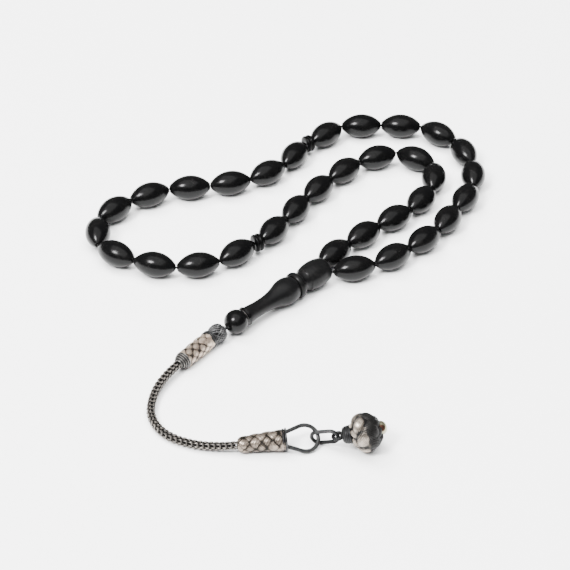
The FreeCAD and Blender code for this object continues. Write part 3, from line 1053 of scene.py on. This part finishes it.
@dataclass
class WovenBall:
    """A ball knotted from one flat band of parallel wires that passes over and under itself.

    The band goes round the ball's X axis in a number of turns, and swings to and fro between its
    ends in a number of bights.  Sizes are in millimetres.  The ball is darker from the first to
    the second station of fade along its X axis, if it is given.
    """

    turns: int
    bights: int
    half_length: float
    half_width: float
    top: float
    strands: int
    wire: float
    band: float
    lift: float
    crown: float
    steps: int = 420
    phase: float = 0.0
    plies: int = 1
    lays: int = 0
    fade: tuple[float, float] | None = None
    faded: float = 0.5

    def lines(self) -> list[list[Vector]]:
        """The middle lines of every wire of the band, about the ball's own X axis.

        Returns:
            Each wire's points, in millimetres.
        """

        def on_ball(turn: float) -> Vector:
            """A point of the band's middle line on the ball.

            Args:
                turn: how far along the band, from 0 to a full circle.

            Returns:
                The point, in millimetres.
            """
            tilt = self.top * math.cos(self.bights * turn)
            spin = self.turns * turn + math.radians(self.phase)
            return Vector((self.half_length * math.sin(tilt),
                           self.half_width * math.cos(tilt) * math.cos(spin),
                           self.half_width * math.cos(tilt) * math.sin(spin)))

        made: list[list[Vector]] = [[] for _ in range(self.strands * self.plies)]
        for step in range(self.steps):
            turn = 2 * math.pi * step / self.steps
            place = on_ball(turn)
            way = (on_ball(turn + 1e-3) - on_ball(turn - 1e-3)).normalized()
            out = Vector((place.x / self.half_length ** 2, place.y / self.half_width ** 2,
                          place.z / self.half_width ** 2)).normalized()
            across = out.cross(way).normalized()
            wave = math.sin((self.turns - 1) * self.bights * turn)
            high = self.lift * math.copysign(abs(wave) ** 0.7, wave)
            slim = max(0.45, math.hypot(place.y, place.z) / self.half_width) ** 0.8
            for index, line in enumerate(made):
                strand, ply = divmod(index, self.plies)
                share = 2 * strand / (self.strands - 1) - 1
                middle = (place + across * (share * (self.band - self.wire) / 2 * slim)
                          + out * (high - self.crown * share ** 2))
                if self.plies > 1:
                    angle = self.lays * turn + 2 * math.pi * ply / self.plies
                    middle += (across * math.cos(angle) + out * math.sin(angle)) * self.wire / 2
                line.append(middle)
        return made

    def mesh(self) -> bmesh.types.BMesh:
        """The band's wires on a dark core, marked by how proud they stand.

        Returns:
            The ball's mesh.
        """
        band = wires([[point * MM for point in line] for line in self.lines()],
                     self.wire * MM, True, 1)
        core = bmesh.new()
        bmesh.ops.create_icosphere(core, subdivisions=4, radius=1.0)
        slack = self.lift + self.wire * 0.2
        bmesh.ops.scale(core, vec=Vector((self.half_length - slack, self.half_width - slack,
                                          self.half_width - slack)) * MM, verts=core.verts)
        whole = joined(band, core)
        low = self.lift + self.crown

        def measure(spot: Vector) -> float:
            """How proud a point of the ball stands.

            Args:
                spot: the point, in metres.

            Returns:
                0 in the seams and 1 on the crossings, less where the ball is darker along its X
                axis.
            """
            level = math.sqrt((spot.x / self.half_length) ** 2
                              + (spot.y ** 2 + spot.z ** 2) / self.half_width ** 2) / MM
            proud = ((level - 1.0) * self.half_width + low) / (low + self.lift + self.wire / 2)
            if self.fade is None:
                return proud
            share = (spot.x / MM - self.fade[0]) / (self.fade[1] - self.fade[0])
            return proud * (1.0 - self.faded * min(1.0, max(0.0, share)))

        mark_proud_and_lit(whole, measure)
        return whole


@dataclass
class Weave:
    """Flat strips woven on the bias round a sleeve, which runs along its own X axis."""

    length: float
    start_radius: float
    end_radius: float
    around: int
    tile: float
    strip: float = 0.93
    lift: float = 0.17
    ribs: int = 4
    rib: float = 0.032
    crown: float = 0.1
    shoulder: float = 0.0
    drawn_in: float = 0.55
    thickness: float = 0.12
    inset: float = 0.02

    def radius(self, station: float) -> float:
        """Outer radius of the sleeve, drawn in over its shoulder.

        Args:
            station: where along the sleeve.

        Returns:
            The radius there, in millimetres.
        """
        radius = self.start_radius + (self.end_radius - self.start_radius) * station / self.length
        if self.shoulder and station < self.shoulder:
            share = min(1.0, 1 - station / self.shoulder)
            radius -= self.drawn_in * (1 - math.sqrt(max(0.0, 1 - share ** 2)))
        return radius

    def height(self, run: float, across: float, row: int, over: int) -> float:
        """Height of a strip's surface.

        Args:
            run: how far along the strip, in crossings.
            across: how far from its middle, in strip spacings.
            row: the strip's number.
            over: 1 for one direction of strips, -1 for the other.

        Returns:
            The height under the sleeve's outer radius, in millimetres.
        """
        wave = math.cos(math.pi * (run + row)) * over
        share = across / (self.strip / 2)
        ribs = self.rib * math.cos(math.pi * self.ribs * share)
        return (self.lift * (math.copysign(abs(wave) ** 0.6, wave) - 1.0)
                - self.crown * share ** 2 + ribs - self.rib)

    def strips(self, over: int) -> bmesh.types.BMesh:
        """All strips of one direction.

        Args:
            over: 1 or -1, the direction.

        Returns:
            The strips' closed shells.
        """
        whole = bmesh.new()
        crossings = math.ceil(2 * self.length / self.tile) + 3
        columns, rows = crossings * 7, self.ribs * 4
        for row in range(self.around):
            before = len(whole.verts)
            bmesh.ops.create_grid(whole, x_segments=columns, y_segments=rows, size=0.5)
            whole.verts.ensure_lookup_table()
            for vert in whole.verts[before:]:
                run = (vert.co.x + 0.5) * crossings - row - 1.5
                across = vert.co.y * self.strip
                high = self.height(run, across, row, over)
                side = row + across
                vert.co = ((run + side) / 2 * self.tile, over * (run - side) / 2, high)
        for plane, way in ((0.0, -1.0), (self.length, 1.0)):
            bmesh.ops.bisect_plane(whole, geom=whole.verts[:] + whole.edges[:] + whole.faces[:],
                                   plane_co=(plane, 0, 0), plane_no=(way, 0, 0), clear_outer=True)
        for vert in whole.verts:
            station, turn = vert.co.x, 2 * math.pi * vert.co.y / self.around
            reach = self.radius(station) + vert.co.z
            vert.co = Vector((station, reach * math.cos(turn), reach * math.sin(turn))) * MM
        bmesh.ops.recalc_face_normals(whole, faces=whole.faces)
        outwards = sum(face.normal.dot(Vector((0, *face.calc_center_median().yz)))
                       for face in whole.faces)
        if outwards < 0:
            bmesh.ops.reverse_faces(whole, faces=whole.faces)
        bmesh.ops.solidify(whole, geom=whole.faces[:], thickness=self.thickness * MM)
        return whole

    def mesh(self) -> bmesh.types.BMesh:
        """Both directions of strips on a dark core, marked by how proud they stand.

        Returns:
            The sleeve's mesh.
        """
        deep, inset = 2 * self.lift + self.crown, self.inset
        core = Lathe(inset, 0.0).line(inset, self.radius(inset) - deep)
        for count in range(1, 7):
            station = self.length * count / 6 - inset
            core.line(station, self.radius(station) - deep)
        whole = joined(self.strips(1), self.strips(-1),
                       core.line(self.length - inset, 0.0).turned(40, False))

        def measure(spot: Vector) -> float:
            """How proud a point of the sleeve stands.

            Args:
                spot: the point, in metres.

            Returns:
                1 on the sleeve's outer radius, less below it.
            """
            level = math.hypot(spot.y, spot.z) / MM - self.radius(spot.x / MM)
            return 1.0 + level / (self.lift * 1.3 + self.crown)

        mark_proud_and_lit(whole, measure)
        return whole


@dataclass
class Tassel:
    """The knot, the upper sleeve with its wire wraps, and the foxtail chain."""

    route: tuple[tuple[float, float, float], ...] = (
        (-31.707, -43.679, 2.756), (-34.744, -47.651, 2.756), (-38.507, -55.079, 1.631),
        (-39.207, -64.279, 1.331), (-35.007, -71.979, 1.331), (-26.807, -76.179, 1.431),
        (-18.279, -77.535, 1.940), (-14.207, -77.179, 2.256))
    upper_heading: float = 232.6
    upper_length: float = 14.3
    upper_radius: float = 2.6
    collar: float = 1.6
    wrap: float = 0.6
    wraps: int = 4
    chain_width: float = 2.55
    chain_length: float = 52.7
    pitch: float = 1.55
    chain_wire: float = 0.62
    throat_reach: float = 0.75
    chain_core: float = 1.8
    sunk: float = 0.16
    loop_half: float = 0.7
    loop_close: float = 0.12
    loop_sink: float = 0.62
    twist: float = math.radians(45.0)
    knot_heading: float = 42.0
    line: list[Vector] = field(default_factory=list)

    def chain_line(self) -> list[Vector]:
        """The chain's smooth line, read from its NURBS spline.

        Returns:
            The line's points, in metres.
        """
        curve = bpy.data.curves.new("chain_route", "CURVE")
        curve.dimensions = "3D"
        curve.resolution_u = 24
        spline = curve.splines.new("NURBS")
        spline.points.add(len(self.route) - 1)
        for point, spot in zip(spline.points, self.route):
            point.co = (*(Vector(spot) * MM), 1.0)
        spline.order_u = 3
        spline.use_endpoint_u = True
        data = baked(curve)
        line = [vert.co.copy() for vert in data.vertices]
        bpy.data.meshes.remove(data)
        return line

    def bight(self) -> bmesh.types.BMesh:
        """One loop of the foxtail: a bent wire whose legs close and sink towards its back.

        Returns:
            The loop's shell, in millimetres.
        """
        long, half = self.pitch * 0.9, self.loop_half
        start = Matrix.Translation((-long / 2, half, 0.0)) @ Matrix.Rotation(math.pi / 2, 4, "Y")
        rod = Rod(self.chain_wire, start, 6)
        rod.run(Vector((long, 0.0, 0.0)), 2)
        rod.bend(Vector((long / 2, 0.0, 0.0)), Vector((0.0, 0.0, -1.0)), math.pi, 5)
        rod.run(Vector((-long, 0.0, 0.0)), 2)
        mesh = rod.done()
        for vert in mesh.verts:
            share = (vert.co.x + long / 2) / (long + half)
            vert.co.y *= self.loop_close + (1.0 - self.loop_close) * share
            vert.co.z += self.loop_sink * (math.sin(share * math.pi * 0.62) - 0.8)
        return mesh

    def chain(self, finish: bpy.types.Material) -> bpy.types.Object:
        """Make the foxtail chain: four columns of nested loops on a dark core.

        Args:
            finish: its metal.

        Returns:
            The chain's object.
        """
        self.line = line = self.chain_line()
        pattern = bpy.data.meshes.new("bight")
        shape = self.bight()
        shape.to_mesh(pattern)
        shape.free()
        whole = bmesh.new()
        reach = self.chain_width / 2 - self.chain_wire / 2 - self.sunk
        for count, (place, way, run) in enumerate(even_steps(line, self.pitch * MM / 2)):
            side = UP.cross(way).normalized()
            up = way.cross(side)
            for quarter in (0, 2) if count % 2 else (1, 3):
                angle = math.pi / 2 * quarter + self.twist * run / (self.chain_length * MM)
                out = up * math.cos(angle) + side * math.sin(angle)
                axes = Matrix((way, out.cross(way), out)).transposed().to_4x4()
                before = len(whole.verts)
                whole.from_mesh(pattern)
                whole.verts.ensure_lookup_table()
                bmesh.ops.transform(whole, verts=whole.verts[before:], matrix=Matrix.Translation(
                    place + out * reach * MM) @ axes @ Matrix.Scale(MM, 4))
        bpy.data.meshes.remove(pattern)
        core = wires([[place for place, _, _ in even_steps(line, 0.8 * MM)]],
                     self.chain_core * MM, False, 2)
        whole = joined(whole, core)
        centres = [place for place, _, _ in even_steps(line, 0.4 * MM)]

        def measure(spot: Vector) -> float:
            """How proud a point of the chain stands.

            Args:
                spot: the point, in metres.

            Returns:
                0 near the chain's core and 1 at its outer face.
            """
            away = min((spot - centre).length_squared for centre in centres) ** 0.5
            return (away / MM - 0.75) / (self.chain_width / 2 - 0.75)

        mark_proud_and_lit(whole, measure)
        piece = deliver(whole, "chain_foxtail", finish)
        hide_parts("tassel_chain")
        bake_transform(piece)
        return piece

    def declare(self, chain: bpy.types.Object, fitting: bpy.types.Object) -> None:
        """Do nothing with the chain and the lower sleeve.

        Args:
            chain: the chain's object; not used.
            fitting: the sleeve's object; not used.
        """

    def knot(self, finish: bpy.types.Material) -> None:
        """Make the knotted ball at the finial.

        Args:
            finish: its metal.
        """
        low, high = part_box("knot_ball")
        ball = WovenBall(turns=3, bights=4, half_length=2.58, half_width=2.58, top=1.12,
                         strands=4, wire=0.27, band=2.35, lift=0.19, crown=0.2, steps=576,
                         plies=2, lays=60)
        spot = Spot((low + high) / 2, heading(self.knot_heading))
        seated(deliver(ball.mesh(), "knot_woven", finish, spot), "tassel", Slot.WOVEN, "knot_ball")

    def throat(self, waxed: bpy.types.Material, pivot: Spot) -> None:
        """Tie the thread's small knot between the ball and the finial; it swings with the ball.

        Args:
            waxed: the thread's finish.
            pivot: where the tassel hangs from.
        """
        low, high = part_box("knot_ball")
        way = ((low + high) / 2 - pivot.place).normalized()
        tie = WovenBall(turns=2, bights=3, half_length=0.48, half_width=0.48, top=1.05,
                        strands=3, wire=0.2, band=0.62, lift=0.1, crown=0.04, steps=96)
        spot = Spot(pivot.place + way * self.throat_reach * MM, way)
        seated(deliver(tie.mesh(), "throat_knotted", waxed, spot), "tassel", Slot.THREAD)

    def sleeve(self, woven: bpy.types.Material, wire: bpy.types.Material,
               bound: bpy.types.Material) -> None:
        """Make the upper sleeve: a wound collar, a bias weave and wire wraps.

        Args:
            woven: finish of the weave.
            wire: finish of the collar.
            bound: finish of the wraps.
        """
        end = Spot(Vector(self.route[0]) * MM, heading(self.upper_heading))
        start = end.moved(-self.upper_length * MM)
        wound = self.wrap * self.wraps
        weave = Weave(length=self.upper_length - self.collar - wound + 0.6,
                      start_radius=self.upper_radius, end_radius=self.upper_radius,
                      around=5, tile=3.1)
        seated(deliver(weave.mesh(), "upper_sleeve_weave", woven,
                       start.moved((self.collar - 0.3) * MM)), "tassel", Slot.WOVEN, "upper_sleeve")
        collar = [hoop(0.56 * MM, 2.4 * MM, (0.28 + 0.53 * count) * MM) for count in range(3)]
        back = Lathe(0.1, 0.0).line(0.1, 2.3).line(self.collar, 2.3).line(self.collar, 0.0)
        mesh = joined(*collar, back.turned(48, False))
        mark_proud_and_lit(mesh, lambda spot: (math.hypot(spot.y, spot.z) / MM - 2.3) / 0.38)
        seated(deliver(mesh, "upper_sleeve_collar", wire, start), "tassel", Slot.WIRE)
        first = self.upper_length - wound
        reaches = [self.upper_radius - self.wrap / 2 - 0.11 * count ** 1.7
                   for count in range(self.wraps)]
        hoops = [hoop(self.wrap * 0.96 * MM, reach * MM, (first + self.wrap * (count + 0.5)) * MM)
                 for count, reach in enumerate(reaches)]
        cap = Lathe(first, 0.0).line(first, 2.2).line(self.upper_length - 1.2, 2.0)
        cap.arc(self.upper_length + 0.25, 1.2, 0.12, 6).line(self.upper_length + 0.25, 0.0)
        mesh = joined(*hoops, cap.turned(48, False))
        mark_proud_and_lit(mesh, lambda spot: 0.2 + 0.8 * abs(
            math.sin((spot.x / MM - first) * math.pi / self.wrap)))
        seated(deliver(mesh, "upper_wraps_wound", bound, start), "tassel", Slot.WIRE, "upper_wraps")


@dataclass
class Skirt:
    """The lower sleeve, which widens to a rim, and the ring in its mouth."""

    turned_to: float = 5.0
    length: float = 13.6
    start_radius: float = 2.2
    end_radius: float = 3.0
    rim_radius: float = 3.25
    ring_wire: float = 1.15
    ring_bend: float = 3.72
    ring_reach: float = 4.95
    ring_leg: float = 6.6
    leg_angle: float = 20.0

    def spot(self, start: Vector) -> Spot:
        """The sleeve's start and axis.

        Args:
            start: where the chain enters.

        Returns:
            The spot at the start, rising so that the sleeve rests on the floor.
        """
        rise = (self.rim_radius - self.start_radius) / self.length
        return Spot(start, heading(self.turned_to, rise))

    def sleeve(self, woven: bpy.types.Material, wire: bpy.types.Material,
               start: Vector) -> bpy.types.Object:
        """Make the weave, the rim's two hoops and the funnel of the mouth.

        Args:
            woven: finish of the weave.
            wire: finish of the rim.
            start: where the chain enters.

        Returns:
            The weave's object.
        """
        spot = self.spot(start)
        weave = Weave(length=self.length - 0.8, start_radius=self.start_radius,
                      end_radius=self.end_radius, around=4, tile=3.2, shoulder=1.3)
        piece = deliver(weave.mesh(), "lower_sleeve_weave", woven, spot)
        seated(piece, "skirt", Slot.WOVEN, "lower_sleeve")
        hoops = [hoop(0.62 * MM, 2.78 * MM, (self.length - 1.05) * MM),
                 hoop(0.62 * MM, 2.94 * MM, (self.length - 0.32) * MM)]
        funnel = Lathe(self.length - 0.9, 2.8).line(self.length - 0.1, 2.95)
        funnel.line(self.length - 0.1, 2.7).line(self.length - 2.2, 2.2)
        funnel.line(self.length - 2.2, 0.0)
        funnel.line(self.length - 2.6, 0.0).line(self.length - 2.6, 2.4)
        mesh = joined(*hoops, funnel.turned(56))
        mark_proud_and_lit(mesh, lambda at: (math.hypot(at.y, at.z) / MM - 2.7) / 0.55)
        seated(deliver(mesh, "lower_sleeve_rim", wire, spot), "skirt", Slot.WIRE)
        return piece

    def ring(self, wire: bpy.types.Material, start: Vector) -> None:
        """Bend the ring: a leg, the round bend and the other leg.

        Args:
            wire: its finish.
            start: where the chain enters the sleeve.
        """
        hook = joint_spot("link_swing")
        mouth = self.spot(start).moved(self.length * MM).place
        way = (hook.place - mouth).normalized()
        side = (hook.along - way * hook.along.dot(way)).normalized()
        centre = mouth + way * (self.ring_reach * MM)
        axes = Matrix((way, side, way.cross(side))).transposed().to_4x4()
        lean = math.radians(self.leg_angle)
        foot = Vector((math.cos(-math.pi / 2 - lean), math.sin(-math.pi / 2 - lean), 0.0))
        foot *= self.ring_bend * MM
        leg = Vector((math.cos(lean), -math.sin(lean), 0.0)) * (self.ring_leg * MM)
        turn = Vector((0, 0, 1)).rotation_difference(leg).to_matrix().to_4x4()
        rod = Rod(self.ring_wire * MM, Matrix.Translation(foot - leg) @ turn, 16)
        rod.run(leg, 6).bend(Vector(), Vector((0, 0, 1)), math.pi + 2 * lean, 40)
        rod.run(Vector((-leg.x, leg.y, 0.0)), 6)
        mesh = rod.done()
        # Painted highlight and painted shade: the wire is lighter on one face across the ring's
        # plane and darker on the other.
        mark_proud_and_lit(mesh, lambda at: 0.5 + at.z / (self.ring_wire * MM) * 0.8)
        bmesh.ops.transform(mesh, matrix=Matrix.Translation(centre) @ axes, verts=mesh.verts)
        seated(deliver(mesh, "ring_bent", wire), "skirt", Slot.WIRE, "tassel_ring")


@dataclass
class Pendant:
    """The long link, and the drop: cap with its eye, woven ball and tip."""

    link_wire: float = 1.1
    link_bend: float = 1.875
    link_straight: float = 3.9
    eye_wire: float = 1.1
    eye_bend: float = 1.275
    drop_reach: float = 7.8
    ball_turn: float = 12.0
    tip_reach: float = 4.0
    tip_width: float = 3.9
    patch_reach: float = 0.4
    patch_side: tuple[float, float, float] = (0.0, -1.35, 1.1)

    def link(self, wire: bpy.types.Material) -> None:
        """Bend the link on edge between the ring and the eye.

        Args:
            wire: its finish.
        """
        hook, eye = joint_spot("link_swing").place, joint_spot("drop_swing").place
        way = (eye - hook).normalized()
        level = UP.cross(way).normalized()
        axes = Matrix((way, way.cross(level), level * -1)).transposed().to_4x4()
        bend, run = self.link_bend * MM, Vector((self.link_straight * MM, 0.0, 0.0))
        start = Matrix.Translation((0.0, bend, 0.0)) @ Matrix.Rotation(math.pi / 2, 4, "Y")
        rod = Rod(self.link_wire * MM, start, 14)
        rod.run(run, 5).bend(run, Vector((0, 0, -1)), math.pi, 20)
        rod.run(-run, 5).bend(Vector(), Vector((0, 0, -1)), math.pi, 20)
        mesh = rod.done(joined=True)
        # Painted highlight and painted shade: the upper leg is lighter than the lower one. The wire
        # is also lighter on its faces across the loop's plane than at its top and bottom.
        mark_proud_and_lit(mesh, lambda at: (0.45 + at.y / bend * 0.2
                                     + abs(at.z) / (self.link_wire * MM) * 0.5))
        bmesh.ops.transform(mesh, matrix=Matrix.Translation(hook) @ axes, verts=mesh.verts)
        seated(deliver(mesh, "link_bent", wire), "link", Slot.WIRE, "tassel_link")

    def drop_spot(self) -> Spot:
        """The eye's middle and the drop's own axis.

        Returns:
            The spot.
        """
        eye = joint_spot("drop_swing")
        side = eye.along.cross(UP).normalized()
        return Spot(eye.place, side.cross(eye.along))

    def ball_spot(self) -> Spot:
        """The ball's middle and its own axis, which is turned a little from the cap's.

        Returns:
            The spot.
        """
        spot = self.drop_spot()
        way = Matrix.Rotation(math.radians(self.ball_turn), 3, "Z") @ spot.along
        return Spot(spot.moved(self.drop_reach * MM).place, way)

    def cap(self, wire: bpy.types.Material) -> None:
        """Turn the cap with its collar bands, and bend its eye.

        Args:
            wire: their finish.
        """
        spot = self.drop_spot()
        lathe = Lathe(1.275, 0.0).line(1.275, 1.6).arc(1.95, 2.3, 0.14, 6).arc(2.55, 2.4, 0.1, 4)
        lathe.line(2.6, 2.42).arc(3.15, 2.5, 0.12, 5).line(3.2, 2.52).arc(3.75, 2.6, 0.12, 5)
        lathe.line(3.875, 2.64).line(4.1, 2.5).line(4.1, 0.0)
        cone = lathe.turned(56, False)
        eye = Rod(self.eye_wire * MM, Matrix.Translation((self.eye_bend * MM, 0, 0))
                  @ Matrix.Rotation(math.pi / 2, 4, "X"), 12)
        ring = eye.bend(Vector(), Vector((0, 0, 1)), 2 * math.pi, 36).done(joined=True)
        mesh = joined(cone, ring)
        mark_proud_and_lit(mesh, lambda at: 0.25 + 0.5 * abs(math.sin((at.x / MM - 2.15) * math.pi / 0.55)))
        seated(deliver(mesh, "cap_turned", wire, spot), "drop", Slot.WIRE, "drop_cap")

    def ball(self, woven: bpy.types.Material, gilt: bpy.types.Material) -> None:
        """Make the woven ball and the bead at its tip.

        Args:
            woven: finish of the band.
            gilt: finish of the tip.
        """
        ball_spot = self.ball_spot()
        ball = WovenBall(turns=5, bights=6, half_length=4.2, half_width=5.08, top=1.13,
                         strands=9, wire=0.5, band=4.0, lift=0.36, crown=0.72, steps=540,
                         phase=12.0, fade=(-0.5, 0.8))
        seated(deliver(ball.mesh(), "ball_woven", woven, ball_spot), "drop", Slot.WOVEN,
               "drop_ball")
        half = self.tip_width / 2
        lathe = Lathe(-half, 0.0).arc(0.0, half, half - half / math.sqrt(2), 10)
        lathe.arc(half - 0.1, 0.6, 0.47, 10).line(half - 0.45, 0.45).line(half - 0.6, 0.0)
        tip = lathe.turned(40, False)
        # Painted shade: the tip is dull at its end by the ball and pale at its far end.
        mark_proud_and_lit(tip, lambda at: 0.5 + at.x / (self.tip_width * MM))
        seated(deliver(tip, "tip_bead", gilt, ball_spot.moved(self.tip_reach * MM)),
               "drop", Slot.TIP, "drop_tip")

    def tip_side(self) -> Vector:
        """The point of the tip that has its patch of tarnish.

        Returns:
            The point, in metres.
        """
        middle = self.ball_spot().moved((self.tip_reach + self.patch_reach) * MM).place
        return middle + Vector(self.patch_side) * MM


# ------------------------------------------------------------------ studio


@dataclass
class Studio:
    """Pale floor, soft light and the camera."""

    look: tuple[float, float] = (-1.351, -3.775)
    elevation: float = 38.2964
    distance: float = 581.918
    lens: float = 120.853
    sensor: float = 36.0
    floor_side: float = 12.0
    floor_drop: float = 0.00002
    floor_grey: float = 0.86
    sky: tuple[float, float, float, float] = (0.95, 0.97, 1.0, 1.0)
    sky_strength: float = 0.1

    def camera(self) -> None:
        """Set the camera at its angle over the object."""
        data = bpy.data.cameras.new("camera")
        data.lens, data.sensor_width = self.lens, self.sensor
        camera = bpy.data.objects.new("camera", data)
        tilt = math.radians(self.elevation)
        camera.location = Vector((self.look[0], self.look[1] - self.distance * math.cos(tilt),
                                  self.distance * math.sin(tilt))) * MM
        camera.rotation_euler = (math.pi / 2 - tilt, 0.0, 0.0)
        bpy.context.scene.collection.objects.link(camera)
        bpy.context.scene.camera = camera

    def floor(self) -> None:
        """Lay the pale floor."""
        mesh = bmesh.new()
        bmesh.ops.create_grid(mesh, x_segments=1, y_segments=1, size=self.floor_side / 2)
        bmesh.ops.translate(mesh, verts=mesh.verts, vec=(0.0, 0.0, -self.floor_drop))
        material = bpy.data.materials.new("floor_pale")
        material.use_nodes = True
        shader = next(node for node in material.node_tree.nodes if node.type == "BSDF_PRINCIPLED")
        shader.inputs["Base Color"].default_value = (*(self.floor_grey,) * 3, 1.0)
        shader.inputs["Roughness"].default_value = 0.9
        shader.inputs["Specular IOR Level"].default_value = 0.1
        deliver(mesh, "floor", material)

    def softbox(self, name: str, size: float, place: Sequence[float], power: float,
                in_gloss: bool = True) -> None:
        """Hang a square soft light that looks at the object.

        Args:
            name: its name.
            size: its side.
            place: where it hangs.
            power: its power in watts.
            in_gloss: whether gloss shows its reflection.
        """
        data = bpy.data.lights.new(name, "AREA")
        data.size, data.energy = size, power
        light = bpy.data.objects.new(name, data)
        light.location = place
        light.rotation_euler = (-Vector(place)).to_track_quat("-Z", "Y").to_euler()
        light.visible_glossy = in_gloss
        bpy.context.scene.collection.objects.link(light)

    def lights(self) -> None:
        """Light the scene softly from above, with a key at the upper left."""
        world = bpy.data.worlds.new("studio")
        world.use_nodes = True
        back = next(node for node in world.node_tree.nodes if node.type == "BACKGROUND")
        back.inputs["Color"].default_value = self.sky
        back.inputs["Strength"].default_value = self.sky_strength
        bpy.context.scene.world = world
        self.softbox("fill", 3.0, (0.0, 0.0, 2.4), 300.0, in_gloss=False)
        self.softbox("back", 0.9, (-1.0, 1.0, 1.8), 60.0, in_gloss=False)
        self.softbox("overhead", 1.9, (-0.15, -0.35, 1.3), 25.0)
        self.softbox("key", 0.5, (-0.92, -0.8, 1.52), 84.0)

    def build(self) -> None:
        """Set up the whole studio."""
        self.camera()
        self.floor()
        self.lights()


def main() -> None:
    """Build the studio, the cord and every other piece in order."""
    logging.basicConfig(level=logging.INFO, format="%(name)s: %(message)s")
    Studio().build()
    bead = Polish("bead_polish").make()
    marker = Polish("marker_polish", deep=(0.0012, 0.0012, 0.0013), worn=(0.003, 0.0029, 0.0028),
                    smooth=0.3, rough=0.45, specular=0.07).make()
    satin = Polish("head_satin", deep=(0.0030, 0.0030, 0.0031), worn=(0.0065, 0.0062, 0.0060),
                   smooth=0.3, rough=0.42, specular=0.11).make()
    waxed = Waxed("thread_waxed").make()
    woven = Silver("silver_woven", dark=(0.026, 0.021, 0.017), bright=(0.54, 0.44, 0.345),
                   rosy=(0.33, 0.255, 0.205), dark_level=0.35, bright_level=0.95).make()
    shaded = Silver("silver_shaded", dark=(0.016, 0.0135, 0.011), bright=(0.25, 0.205, 0.165),
                    rosy=(0.12, 0.097, 0.079), dark_level=0.48, bright_level=1.0).make()
    foxtail = Silver("silver_foxtail", bright=(0.26, 0.235, 0.21), rosy=(0.13, 0.12, 0.11),
                     dark_level=0.45, bright_level=1.05).make()
    knotted = Silver("silver_knotted", dark=(0.009, 0.009, 0.0092), bright=(0.17, 0.17, 0.17),
                     rosy=(0.08, 0.08, 0.081), rough=0.55, smooth=0.42, dark_level=0.3).make()
    drop_band = Silver("silver_drop", dark=(0.018, 0.0175, 0.017), bright=(0.36, 0.31, 0.26),
                       rosy=(0.18, 0.155, 0.13), smooth=0.3, rough=0.48, dark_level=0.62,
                       bright_level=0.92).make()
    # On the ring and the link, this finish's dark and bright colours are painted shade and painted
    # highlight.
    wire = Silver("silver_wire", dark=(0.005, 0.005, 0.0052), bright=(0.062, 0.062, 0.062),
                  rosy=(0.026, 0.026, 0.027), dark_level=0.25, bright_level=1.15).make()
    bound = Silver("silver_bound", dark=(0.012, 0.012, 0.0115), bright=(0.26, 0.245, 0.23),
                   rosy=(0.12, 0.115, 0.11), dark_level=0.35, bright_level=1.1).make()
    seam = Silver("silver_seam", dark=(0.02, 0.019, 0.018), bright=(0.035, 0.033, 0.031),
                  rosy=(0.02, 0.019, 0.018)).make()

    tassel, skirt, pendant = Tassel(), Skirt(), Pendant()
    chain = tassel.chain(foxtail)
    chain_end = Vector(tassel.route[-1]) * MM
    tassel.declare(chain, skirt.sleeve(shaded, wire, chain_end))

    mouth, pivot = joint_spot("head_turn"), joint_spot("finial_turn")
    Strand().build(bead, marker, waxed, mouth)
    HeadPiece().build(satin, mouth)
    Finial().build(bead, seam, pivot)
    Tail().build(waxed, mouth, pivot)
    tassel.knot(knotted)
    tassel.throat(waxed, pivot)
    tassel.sleeve(woven, wire, bound)
    skirt.ring(wire, chain_end)
    pendant.link(wire)
    pendant.cap(wire)
    gilt = Gilt("tip_gilt", patch=tuple(pendant.tip_side())).make()
    pendant.ball(drop_band, gilt)


if __name__ == "__main__":
    main()
